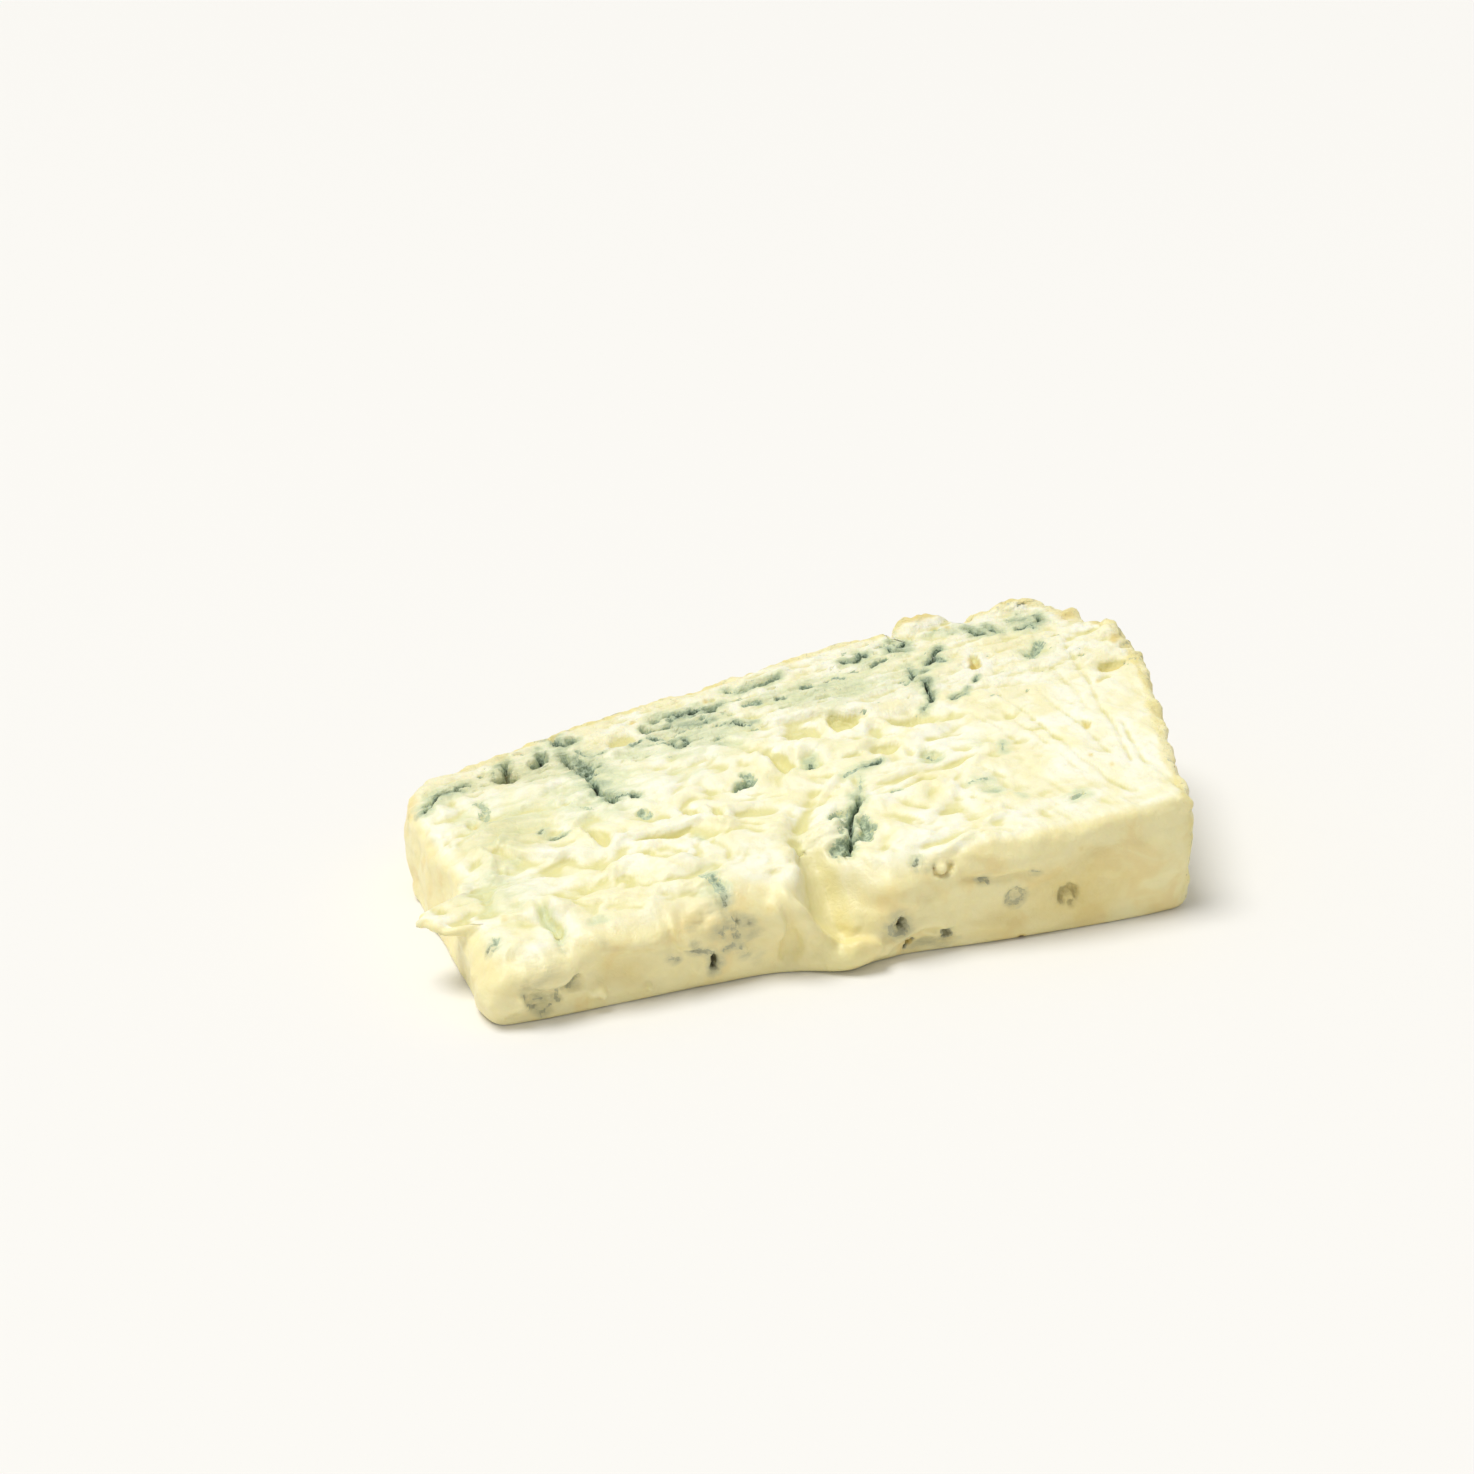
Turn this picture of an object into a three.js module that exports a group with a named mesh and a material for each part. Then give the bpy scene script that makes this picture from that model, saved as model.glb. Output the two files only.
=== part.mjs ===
// A thick piece cut from a wheel of soft blue cheese, lying on one of its radial cut faces.
// It is one solid: the wheel's thin rind, the blue veins and the pockets they grow in are all part of
// the same paste. The body is three sheets sewn into one skin: a top sheet, a wall that runs once
// round the outline, and the flat face it rests on.
import * as THREE from 'three';
import { mergeGeometries, mergeVertices } from 'three/addons/utils/BufferGeometryUtils.js';

// Driving dimensions, in millimetres. X runs from the cut nose to the rind of the wheel's side,
// Y from the front cut to the rind of the wheel's flat face, and Z up.
const NOSE_FRONT_HEIGHT = 12.5;
const NOSE_BACK_HEIGHT = 17;
const RIND_FRONT_HEIGHT = 24.5;
const RIND_BACK_HEIGHT = 36;
const LENGTH = 142; // from the nose to where the rind heights are taken
const DEPTH = 84; // from the front cut to where the back heights are taken
const CROWN = 0.8; // how far the middle of the top swells above its four corners
const RESTING_EDGE = 0.8; // radius of the edge that sags onto the table
const RIM = 2.6; // radius of the edge between the wall and the top
const BELLY = 0.9; // how far the wall swells at half height

// The outline on the table, once round, from the front corner of the nose. Each side runs up to the
// corner that starts the next one, so a corner's roundness is that of its three nearest points.
const FRONT_CUT = [
  [0.6, 0.4], [6, -0.3], [24, 0.6], [41, 1.7], [53, 1.8],
  [60, 0.4], [67, -0.9], [77, 0.5], [98, -0.5], [133, -0.3],
];
const SIDE_RIND = [[138.8, 1.4], [142, 12], [146.8, 26], [150.4, 36], [153.2, 44], [155, 52], [156.8, 60]];
const FLAT_RIND = [
  [154, 69], [146, 82.5], [126, 86.4], [106, 87.4], [88, 86.4], [72, 84], [56, 83], [38, 81.4], [14, 76],
];
const NOSE_CUT = [[2.8, 73], [-1, 64], [-1.6, 46], [-1, 32], [-1, 14]];

// Rounded hollows and swells of the top: [x, y, half length, half width, rise].
const TOP_SWELLS = [
  [88, 53, 7, 5, -2.2], // smooth thumb-sized hollow
  [103, 48, 10, 4.5, -1.6],
  [77, 41.5, 5, 5, -1.3],
  [30.5, 34, 4, 6.5, -1.5], // buttery hollows between the smears of the nose
  [39, 22.5, 6.5, 5.5, -1],
  [135.5, 62.5, 5.5, 3, -1.4],
  [148, 50, 5, 4, -1.5],
  [61.2, 40, 3, 3, -4.5], // round gas hole
  [20.6, 68, 3, 4, -4], // two ragged pockets in the nose
  [28.4, 70.4, 3, 3, -3],
  [119, 85, 7, 4, 1.8], // lumps left by the cloth on the rind, and the gap between them
  [129, 84.6, 4.5, 4, -1.8],
  [141, 83, 8, 5, 1.4],
  [155, 63.5, 4, 3.5, 1.5],
  [66, 3, 10, 16, -3], // head of the scraped chute
  [26, 8, 26, 12, 0.7], // smeared folds of paste
  [47, 15, 14, 13, 1.1],
  [96, 8, 16, 9, 0.7],
  [128, 22, 15, 15, 0.6],
];

// Clefts that the blue mould opened: the line of the bottom, the half width and the depth.
const CLEFTS = [
  { line: [[79.5, 25], [75.6, 19.4], [73.6, 14.4], [70.8, 9.8]], halfWidth: 4.2, depth: 6 },
  { line: [[32.8, 69], [33.4, 62], [35.2, 54], [36.4, 47]], halfWidth: 3.4, depth: 3 },
  { line: [[2.5, 61], [6, 65], [9.6, 65.3]], halfWidth: 2.2, depth: 2.4 },
  { line: [[54, 73.8], [61, 73.8], [68, 73.4]], halfWidth: 2.4, depth: 2 },
  { line: [[51.5, 71], [56, 69.6]], halfWidth: 2.2, depth: 2.4 },
  { line: [[109.4, 66], [109.4, 59], [107.6, 53]], halfWidth: 2.2, depth: 2 },
  { line: [[127.6, 77], [130, 74.8]], halfWidth: 2.2, depth: 2 },
  { line: [[137.5, 72.7], [142, 73.2], [143.2, 75.8]], halfWidth: 2.2, depth: 2.6 },
];

// Swells of the wall: [x, y, half length along the outline, height of the middle as a share of the
// wall's height, half height as a share, how far it stands out].
const WALL_SWELLS = [
  [9, 0, 8, 0.8, 0.34, 0.9], // lobe over the front corner, and the swirl it hangs over
  [8, 0, 5, 0.3, 0.3, -1.2],
  [40, 0, 9, 0.8, 0.4, 1],
  [52, 0, 3.6, 0.6, 0.34, 1.6],
  [57, 0, 3, 0.32, 0.3, -1.5],
  [65, -0.5, 8.5, 0.95, 0.75, -6.5], // scraped chute, and the toe that sagged out at its foot
  [66, 0, 9, 0.14, 0.22, 1.7],
  [76, 0, 7, 0.5, 0.36, 1],
  [101, 0, 18, 0.36, 0.34, -0.9],
  [-2, 20.3, 6.5, 0.92, 0.22, 4.6], // torn flap at the nose
  [-2, 34, 12, 0.5, 0.5, -1.3],
  [-2, 52, 12, 0.5, 0.5, 1],
  [156, 62, 3.4, 0.84, 0.3, 1.3], // rind lumps
  [150.5, 43, 6, 0.6, 0.5, 0.9],
  [147, 32, 5, 0.75, 0.3, 1],
  [112.2, 87, 2.4, 0.9, 0.5, -2.5], // notches on each side of the lump on the flat rind
  [119, 87, 5.6, 0.95, 0.3, 1.3],
  [127.6, 86, 3.4, 0.9, 0.45, -2.6],
];

// How finely the skin is divided.
const COLUMNS = 68; // along X
const ROWS = 38; // along Y
const LEVELS = 9; // up the wall

const outlinePoints = [...FRONT_CUT, ...SIDE_RIND, ...FLAT_RIND, ...NOSE_CUT];
const outline = new THREE.CatmullRomCurve3(
  outlinePoints.map(([x, y]) => new THREE.Vector3(x, y, 0)), true, 'centripetal');

// Where each of the four sides starts on the closed outline, as a share of its parameter.
const sideStarts = [FRONT_CUT, SIDE_RIND, FLAT_RIND, NOSE_CUT]
  .reduce((starts, side) => [...starts, starts.at(-1) + side.length], [0])
  .map((start) => start / outlinePoints.length);

// A round bump of height 1 that falls smoothly to 0 at distance 1 and beyond.
function bump(distance) {
  return distance < 1 ? (1 - distance * distance) ** 2 : 0;
}

// The shortest distance from a point to a line of straight pieces.
function distanceToLine(x, y, line) {
  const point = new THREE.Vector3(x, y, 0);
  const nearest = new THREE.Vector3();
  const pieces = line.slice(1).map((end, i) => {
    const piece = new THREE.Line3(new THREE.Vector3(...line[i], 0), new THREE.Vector3(...end, 0));
    return piece.closestPointToPoint(point, true, nearest).distanceTo(point);
  });
  return Math.min(...pieces);
}

// Height of the top over a point of the table: a twisted plane through the four corner heights, a
// low crown, then the swells, hollows and clefts.
function topHeight(x, y) {
  const along = x / LENGTH;
  const back = y / DEPTH;
  const nose = THREE.MathUtils.lerp(NOSE_FRONT_HEIGHT, NOSE_BACK_HEIGHT, back);
  const rind = THREE.MathUtils.lerp(RIND_FRONT_HEIGHT, RIND_BACK_HEIGHT, back);
  let height = THREE.MathUtils.lerp(nose, rind, along);
  height += CROWN * Math.sin(Math.PI * THREE.MathUtils.clamp(back, 0, 1));
  for (const [cx, cy, halfLength, halfWidth, rise] of TOP_SWELLS) {
    height += rise * bump(Math.hypot((x - cx) / halfLength, (y - cy) / halfWidth));
  }
  for (const { line, halfWidth, depth } of CLEFTS) {
    height -= depth * bump(distanceToLine(x, y, line) / halfWidth);
  }
  return height;
}

// How far the named wall swells push the wall out, at a point of the outline and a share of height.
function wallSwell(x, y, share) {
  let out = BELLY * Math.sin(Math.PI * share);
  for (const [cx, cy, halfLength, middle, halfShare, stand] of WALL_SWELLS) {
    const around = Math.hypot(x - cx, y - cy) / halfLength;
    out += stand * bump(Math.hypot(around, (share - middle) / halfShare));
  }
  return out;
}

// The wall's section, from 0 on the table to 1 where the top sheet starts: a quarter turn round the
// resting edge, the straight wall, and a quarter turn over the rim. Gives the inset from the outline
// and the share of the wall's height.
function wallSection(climb, height) {
  if (climb < 0.25) {
    const turn = climb / 0.25 * Math.PI / 2;
    const rise = RESTING_EDGE * (1 - Math.cos(turn));
    return { inset: RESTING_EDGE * (1 - Math.sin(turn)), share: rise / height };
  }
  if (climb < 0.75) {
    const rise = THREE.MathUtils.lerp(RESTING_EDGE, height - RIM, (climb - 0.25) / 0.5);
    return { inset: 0, share: rise / height };
  }
  const turn = (climb - 0.75) / 0.25 * Math.PI / 2;
  return { inset: RIM * (1 - Math.cos(turn)), share: 1 - RIM * (1 - Math.sin(turn)) / height };
}

// A point of the wall: side and along give the place on the outline, climb the place on the section.
function wallPoint(side, along, climb) {
  const u = THREE.MathUtils.lerp(sideStarts[side], sideStarts[side + 1], along) % 1;
  const foot = outline.getPoint(u);
  const tangent = outline.getTangent(u);
  const outwards = new THREE.Vector3(tangent.y, -tangent.x, 0);
  const { inset, share } = wallSection(climb, topHeight(foot.x, foot.y));
  const place = foot.addScaledVector(outwards, wallSwell(foot.x, foot.y, share) - inset);
  place.z = share * topHeight(place.x, place.y);
  return place;
}

// A point of the top: the four upper edges of the wall blended across (a Coons patch), then lifted
// to the top's height.
function topPoint(a, b) {
  const front = wallPoint(0, a, 1);
  const back = wallPoint(2, 1 - a, 1);
  const nose = wallPoint(3, 1 - b, 1);
  const rind = wallPoint(1, b, 1);
  const noseCorners = wallPoint(0, 0, 1).lerp(wallPoint(2, 1, 1), b);
  const rindCorners = wallPoint(0, 1, 1).lerp(wallPoint(2, 0, 1), b);
  const place = front.lerp(back, b).add(nose.lerp(rind, a)).sub(noseCorners.lerp(rindCorners, a));
  place.z = topHeight(place.x, place.y);
  return place;
}

// A sheet of columns x rows quads whose corners are point(i, j), facing the side from which columns
// run right and rows run up.
function sheet(columns, rows, point) {
  const positions = [];
  const index = [];
  for (let j = 0; j <= rows; j += 1) {
    for (let i = 0; i <= columns; i += 1) {
      positions.push(...point(i, j).toArray());
    }
  }
  for (let j = 0; j < rows; j += 1) {
    for (let i = 0; i < columns; i += 1) {
      const corner = j * (columns + 1) + i;
      const above = corner + columns + 1;
      index.push(corner, corner + 1, above + 1, corner, above + 1, above);
    }
  }
  const geometry = new THREE.BufferGeometry();
  geometry.setAttribute('position', new THREE.Float32BufferAttribute(positions, 3));
  geometry.setIndex(index);
  return geometry;
}

// The flat face on the table, inside the foot of the wall and facing down.
function restingFace() {
  const foot = [COLUMNS, ROWS, COLUMNS, ROWS].flatMap((steps, side) =>
    Array.from({ length: steps }, (_, i) => wallPoint(side, i / steps, 0)));
  const triangles = THREE.ShapeUtils.triangulateShape(foot.map(({ x, y }) => new THREE.Vector2(x, y)), []);
  const geometry = new THREE.BufferGeometry().setFromPoints(foot);
  geometry.setIndex(triangles.flatMap(([a, b, c]) => [a, c, b]));
  return geometry;
}

// The whole piece, as one closed skin with its origin under the middle of its box.
function cheeseBody() {
  const walls = [COLUMNS, ROWS, COLUMNS, ROWS].map((steps, side) =>
    sheet(steps, LEVELS, (i, j) => wallPoint(side, i / steps, j / LEVELS)));
  const top = sheet(COLUMNS, ROWS, (i, j) => topPoint(i / COLUMNS, j / ROWS));
  const skin = mergeVertices(mergeGeometries([top, ...walls, restingFace()]), 1e-3);
  skin.computeBoundingBox();
  const middle = skin.boundingBox.getCenter(new THREE.Vector3());
  skin.translate(-middle.x, -middle.y, -skin.boundingBox.min.z);
  skin.computeVertexNormals();
  return skin;
}

const cheese = new THREE.Mesh(
  cheeseBody(),
  new THREE.MeshStandardMaterial({ color: '#f2eecc', roughness: 0.5, metalness: 0 }));
cheese.name = 'cheese_wedge';

const group = new THREE.Group();
group.add(cheese);

export default group;
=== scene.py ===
# %% [markdown]
# # A wedge of soft blue cheese
# The object is a thick, hand-cut piece from a creamy blue wheel. It lies on one cut face, and the other
# cut face is up: smeared ivory paste, blue-green veins, and ragged pockets where the mould grew.
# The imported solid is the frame. It gives the piece's real size and its place, and this lesson grows
# the fine surface round it. Sizes are in millimetres until the mesh is made, as a maker would think.

import bpy
import numpy as np
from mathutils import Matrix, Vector


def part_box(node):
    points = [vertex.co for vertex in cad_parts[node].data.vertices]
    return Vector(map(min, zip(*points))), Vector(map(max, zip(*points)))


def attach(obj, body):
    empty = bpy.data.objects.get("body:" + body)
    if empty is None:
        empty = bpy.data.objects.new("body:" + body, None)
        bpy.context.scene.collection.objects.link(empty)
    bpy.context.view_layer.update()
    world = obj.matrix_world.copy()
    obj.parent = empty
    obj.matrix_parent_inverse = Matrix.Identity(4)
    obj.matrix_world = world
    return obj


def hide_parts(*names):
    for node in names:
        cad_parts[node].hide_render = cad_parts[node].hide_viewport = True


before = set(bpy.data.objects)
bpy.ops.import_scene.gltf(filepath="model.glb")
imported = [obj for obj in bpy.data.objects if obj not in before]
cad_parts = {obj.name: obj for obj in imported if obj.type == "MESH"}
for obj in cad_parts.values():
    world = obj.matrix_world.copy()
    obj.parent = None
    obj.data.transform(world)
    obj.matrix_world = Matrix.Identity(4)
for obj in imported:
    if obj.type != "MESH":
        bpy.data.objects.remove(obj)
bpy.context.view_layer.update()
box_low, box_high = (np.array(corner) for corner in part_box("cheese_wedge"))
print("frame box in mm", (box_high - box_low) * 1000)

# %% [markdown]
# ## Noise that repeats
# Paste, crumbs and mould are all irregular, but the piece has to come out the same on every run.
# Blender's own textures could displace a mesh, but a few lines of gradient noise in numpy give the
# same clouds as whole arrays, and their values can also steer colour later.

# %% Gradient noise
rng = np.random.default_rng(20)
SHUFFLE = rng.permutation(256)
GRADIENTS = rng.normal(size=(256, 3))
GRADIENTS /= np.linalg.norm(GRADIENTS, axis=1)[:, None]


def ease(x, low=0.0, high=1.0):
    """A soft step from 0 to 1 between low and high: 3t^2 - 2t^3, with t the share of the way."""
    t = np.clip((x - low) / (high - low), 0, 1)
    return t * t * (3 - 2 * t)


def cloud(points, size, seed=0):
    """Gradient noise about -1 to 1, with blobs of the given size (a number or one for each axis).

    Each lattice corner of a point's cell holds a random direction. The value is the sum over the
    eight corners of direction . offset, weighted by 6t^5 - 15t^4 + 10t^3 along each axis.
    """
    scaled = points / size + seed * 17.31
    cell = np.floor(scaled).astype(int)
    inside = scaled - cell
    fade = inside**3 * (inside * (inside * 6 - 15) + 10)
    total = np.zeros(len(points))
    for corner in np.ndindex(2, 2, 2):
        x, y, z = ((cell + corner) & 255).T
        direction = GRADIENTS[SHUFFLE[(SHUFFLE[(SHUFFLE[x] + y) & 255] + z) & 255]]
        weight = np.prod(np.where(corner, fade, 1 - fade), axis=1)
        total += weight * np.sum(direction * (inside - corner), axis=1)
    return total * 1.6


def clouds(points, size, octaves, seed=0):
    """Layers of cloud, each half the size and half the strength of the one before."""
    size = np.asarray(size, float)
    return sum(cloud(points, size / 2**k, seed + k) / 2**k for k in range(octaves))


print("noise at three points", cloud(np.array([[1.0, 2, 3], [4, 5, 6], [7, 8, 9]]), 5.0).round(3))

# %% [markdown]
# ## The outline
# The foot of the piece is one closed line: front cut, side rind, flat rind, nose cut. Its few points
# are nearly the solid's own, joined by a Catmull-Rom curve, which passes through every point. A
# curve object would do, but the wall needs the line's normal too, so it is sampled here, and each
# side is then divided evenly by its length.

# %% Outline of the foot, in mm
FRONT_CUT = [
    [0.6, 0.4], [6, -0.3], [24, 0.6], [41, 1.7], [53, 1.8],
    [60, 0.4], [67, -0.9], [77, 0.5], [98, -0.5], [133, -0.3],
]
SIDE_RIND = [
    [138.8, 1.4], [142, 12], [146.8, 26], [150.4, 36], [153.2, 44], [155, 52], [156.8, 60], [154, 69],
]
FLAT_RIND = [
    [146, 82.5], [126, 86.4], [106, 87.4], [88, 86.4], [72, 84], [56, 83], [38, 81.4], [14, 76],
]
NOSE_CUT = [[3.6, 73], [-0.2, 64], [-1.4, 46], [-1, 32], [-1, 14], [-1, 4.4]]
SIDES = [FRONT_CUT, SIDE_RIND, FLAT_RIND, NOSE_CUT]


def closed_curve(points, steps):
    """A centripetal Catmull-Rom curve through the points, sampled `steps` times between each two.

    Knots are spaced by the square root of the chord, and each span is the cubic with the slopes of
    the neighbouring chords at its ends.
    """
    p = np.array(points, float)
    before, start, end, after = (np.roll(p, shift, 0) for shift in (1, 0, -1, -2))
    gaps = [np.sqrt(np.linalg.norm(b - a, axis=1))[:, None]
            for a, b in ((before, start), (start, end), (end, after))]
    leave = ((start - before) / gaps[0] - (end - before) / (gaps[0] + gaps[1])
             + (end - start) / gaps[1]) * gaps[1]
    arrive = ((end - start) / gaps[1] - (after - start) / (gaps[1] + gaps[2])
              + (after - end) / gaps[2]) * gaps[1]
    t = (np.arange(steps) / steps)[None, :, None]
    spans = (start[:, None] * (1 - 3 * t**2 + 2 * t**3) + end[:, None] * (3 * t**2 - 2 * t**3)
             + leave[:, None] * (t - 2 * t**2 + t**3) + arrive[:, None] * (t**3 - t**2))
    return spans.reshape(-1, 2)


COLUMNS, ROWS, LEVELS = 312, 168, 42  # grid steps along X, along Y and up the wall
SAMPLES = 60  # points of the line between two given ones
TURN_STEPS = 18  # the line's direction is averaged this many steps each way, so a corner turns softly


def foot_ring():
    """Points and outward normals of the foot, COLUMNS or ROWS even steps on each side.

    The normal is square to the mean direction of the steps nearby. If it turned at once at a corner,
    the rim, which lies further in, would fold over itself there.
    """
    line = closed_curve(np.concatenate(SIDES), SAMPLES)
    line = np.vstack([line, line[:1]])
    run = np.concatenate([[0], np.cumsum(np.linalg.norm(np.diff(line, axis=0), axis=1))])
    starts = run[np.cumsum([0] + [len(side) * SAMPLES for side in SIDES])]
    steps = [COLUMNS, ROWS, COLUMNS, ROWS]
    places = np.concatenate([np.linspace(a, b, n, endpoint=False)
                             for a, b, n in zip(starts, starts[1:], steps)])
    ring = np.stack([np.interp(places, run, line[:, axis]) for axis in (0, 1)], 1)
    step = np.roll(ring, -1, 0) - np.roll(ring, 1, 0)
    shifts = range(-TURN_STEPS, TURN_STEPS + 1)
    tangent = sum(np.roll(step, k, 0) * (TURN_STEPS + 1 - abs(k)) for k in shifts)
    tangent /= np.linalg.norm(tangent, axis=1)[:, None]
    return ring, np.stack([tangent[:, 1], -tangent[:, 0]], 1)


ring_foot, ring_out = foot_ring()
first_step = np.linalg.norm(ring_foot[1] - ring_foot[0])
print("ring of", len(ring_foot), "points, the first two", first_step.round(2), "mm apart")

# %% [markdown]
# ## Lines, pits and how far a point is from them
# Most of what makes this piece itself is a list of small places: a cleft that winds back from the
# nose, a round gas hole, the big pocket. Each is a line, a point or an oval, so a few measures serve
# them all: how far every point of the skin is from it, and a bump or a dish over that distance.


# %% Distances
def line_distance(flat, line):
    """Shortest distance from each flat point to a line of straight pieces, or to a single point.

    On each piece the nearest place is the point's projection, kept between the piece's two ends.
    """
    line = np.array(line, float).reshape(-1, 2)
    if len(line) == 1:
        return np.linalg.norm(flat - line[0], axis=1)
    best = np.full(len(flat), np.inf)
    for a, b in zip(line[:-1], line[1:]):
        piece = b - a
        share = np.clip((flat - a) @ piece / (piece @ piece), 0, 1)
        best = np.minimum(best, np.linalg.norm(flat - a - share[:, None] * piece, axis=1))
    return best


def follow(flat, line):
    """Distance to the line, the side of it and the way along it, for each flat point.

    The side is +1 on the left of the line's travel and -1 on the right: the sign of the cross product
    of the nearest piece and the way from it to the point. The way along runs from 0 to the length.
    """
    line = np.array(line, float)
    best, side, along, run = np.full(len(flat), np.inf), np.zeros(len(flat)), np.zeros(len(flat)), 0
    for a, b in zip(line[:-1], line[1:]):
        piece = b - a
        share = np.clip((flat - a) @ piece / (piece @ piece), 0, 1)
        off = flat - a - share[:, None] * piece
        away = np.linalg.norm(off, axis=1)
        near = away < best
        side[near] = np.sign(piece[0] * off[near, 1] - piece[1] * off[near, 0])
        along[near] = run + share[near] * np.linalg.norm(piece)
        best[near] = away[near]
        run += np.linalg.norm(piece)
    return best, side, along, run


def arc(x, y, radius, start, end):
    """Points along a part of a circle, from one angle to the other in degrees."""
    angles = np.radians(np.linspace(start, end, 9))
    return [[x + radius * np.cos(a), y + radius * np.sin(a)] for a in angles]


def oval(flat, x, y, half_length, half_width):
    """How far each flat point is from an oval's middle, as a share of the way to its edge."""
    return np.hypot((flat[:, 0] - x) / half_length, (flat[:, 1] - y) / half_width)


def bump(distance):
    """A round bump: (1 - d^2)^2 inside distance 1, and 0 beyond."""
    return (1 - np.minimum(np.abs(distance), 1) ** 2) ** 2


def dish(distance):
    """A dish with a flat bottom: 1 out to 0.4 of the distance, then a soft step down to 0 at 1."""
    return ease(1 - distance, 0, 0.6)


print("a bump at 0, 0.5 and 1:", bump(np.array([0, 0.5, 1])).round(2))

# %% [markdown]
# ## The top's height and the wall's section
# The top is a twisted plane through four corner heights, because the cut leans from a thin nose to a
# thick rind. Broad swells and hollows lie on it. The wall turns a soft quarter round at the table,
# climbs, and rolls over the rim. A smooth chute was scraped down the front cut, and a thin torn flap
# stands out of the nose.

# %% Broad form, in mm
NOSE_FRONT_HEIGHT, NOSE_BACK_HEIGHT = 12.5, 17
RIND_FRONT_HEIGHT, RIND_BACK_HEIGHT = 24.5, 36
LENGTH, DEPTH = 142, 84
CROWN = 0.8  # how far the middle of the top stands above a straight line from front to back
BELLY = 0.9  # how far the middle of the wall stands out
RESTING_EDGE = 0.8  # radius of the edge at the table
RIM = 2.6  # radius of the edge at the top
SOFT_RIM = 2.8  # how much rounder the rim is where the paste sagged, at the front of the nose
FOOT_TURN, RIM_TURN = 0.1, 0.8  # shares of the climb where the foot's turn ends and the rim's starts
NOSE_SIDE, FRONT_SIDE = 20, 20  # what lies within these of X = 0 and Y = 0 belongs to nose and front
FLAP_MIDDLE, FLAP_REACH = 20.3, 12  # the flap's middle along Y, and how far it thins the rim
CHUTE_MIDDLE, CHUTE_STEEP, CHUTE_GENTLE = 64.5, 8, 12  # its middle along X and its two half widths
CHUTE_RIM = 1.6  # how much rounder again the rim is over the chute
CHUTE_LEAN = 8.5  # how far back the floor of the chute has gone when it reaches the top

# Broad hollows and swells of the top: x, y, half length, half width, rise.
TOP_SWELLS = [
    [85, 54, 12, 7, -1.0],
    [103, 48, 9, 6, -1.0],
    [66, 3, 10, 16, -3.0],
    [147, 50, 5, 4, -1.3],
    [118, 84, 8, 4, 0.6],
    [129, 85, 4.5, 5, -1.5],
    [141, 83, 8, 5, 1.4],
    [153, 62, 4, 4, 1.4],
    [26, 8, 26, 12, 0.7],
    [47, 15, 14, 13, 1.1],
    [96, 8, 16, 9, 0.7],
    [128, 22, 15, 15, 0.6],
]

# Swells of the wall: x, y, half length, middle and half height as shares of the height, stand-out.
WALL_SWELLS = [
    [1, 2, 5, 0.4, 0.4, 0.9],
    [9, 0, 8, 0.8, 0.34, 0.9],
    [24, 0, 9, 0.5, 0.4, -0.7],
    [27, 0, 9, 0.9, 0.2, 0.9],
    [40, 0, 8, 0.8, 0.4, 1.0],
    [43, 0, 7, 0.3, 0.4, 0.7],
    [52, 0, 3.6, 0.6, 0.34, 1.6],
    [56.6, 0, 2.8, 0.32, 0.3, -1.5],
    [66, 0, 9, 0.14, 0.28, 1.6],
    [76, 0, 7, 0.5, 0.36, 0.8],
    [78.5, 0, 8, 0.78, 0.3, 1.2],
    [75, 0, 5, 0.1, 0.16, 0.8],
    [85, 0, 6, 0.24, 0.14, -0.8],
    [101, 0, 18, 0.36, 0.34, -0.9],
    [100, 0, 20, 0.8, 0.16, 0.5],
    [-2, 26, 9, 0.4, 0.4, -1.0],
    [-2, 34, 14, 0.6, 0.6, -2.4],
    [-2, 52, 14, 0.55, 0.6, -1.4],
    [156, 62, 3.4, 0.84, 0.3, 1.3],
    [154.4, 52.4, 2.6, 0.9, 0.3, 0.9],
    [153.4, 56, 2.4, 0.9, 0.3, -1.2],
    [151.6, 71, 2.4, 0.9, 0.25, -1.2],
    [112.2, 87, 1.5, 0.95, 0.28, -3.4],
    [119, 87, 5.6, 0.95, 0.3, 1.3],
    [127.6, 86, 3, 0.95, 0.35, -3.0],
    [150.5, 43, 6, 0.6, 0.5, 0.9],
    [147, 32, 5, 0.75, 0.3, 1.0],
]


def top_height(flat):
    """Height over each flat point: the four corner heights blended both ways, a low sine crown, and
    each broad swell as a round bump."""
    along, back = flat[:, 0] / LENGTH, flat[:, 1] / DEPTH
    nose = NOSE_FRONT_HEIGHT + (NOSE_BACK_HEIGHT - NOSE_FRONT_HEIGHT) * back
    rind = RIND_FRONT_HEIGHT + (RIND_BACK_HEIGHT - RIND_FRONT_HEIGHT) * back
    height = nose + (rind - nose) * along + CROWN * np.sin(np.pi * np.clip(back, 0, 1))
    for x, y, half_length, half_width, rise in TOP_SWELLS:
        height += rise * bump(oval(flat, x, y, half_length, half_width))
    return height


def nose_flap(flat):
    """How far the torn flap of the nose stands out: its outline, with two points and ragged sides."""
    outline = np.interp(flat[:, 1], [14.4, 15.6, 18, 19.4, 20.4, 21.6, 23.4, 24.8, 26.2],
                        [0, 4.4, 5.8, 6.4, 8.2, 6.6, 6.8, 4.8, 0])
    return outline * (flat[:, 0] < NOSE_SIDE)


def chute(flat):
    """Weight of the smooth chute that was scraped down the front cut: steep on the nose's side of its
    middle, gentle on the other."""
    off = flat[:, 0] - CHUTE_MIDDLE
    return (flat[:, 1] < FRONT_SIDE) * bump(off / np.where(off < 0, CHUTE_STEEP, CHUTE_GENTLE))


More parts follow.
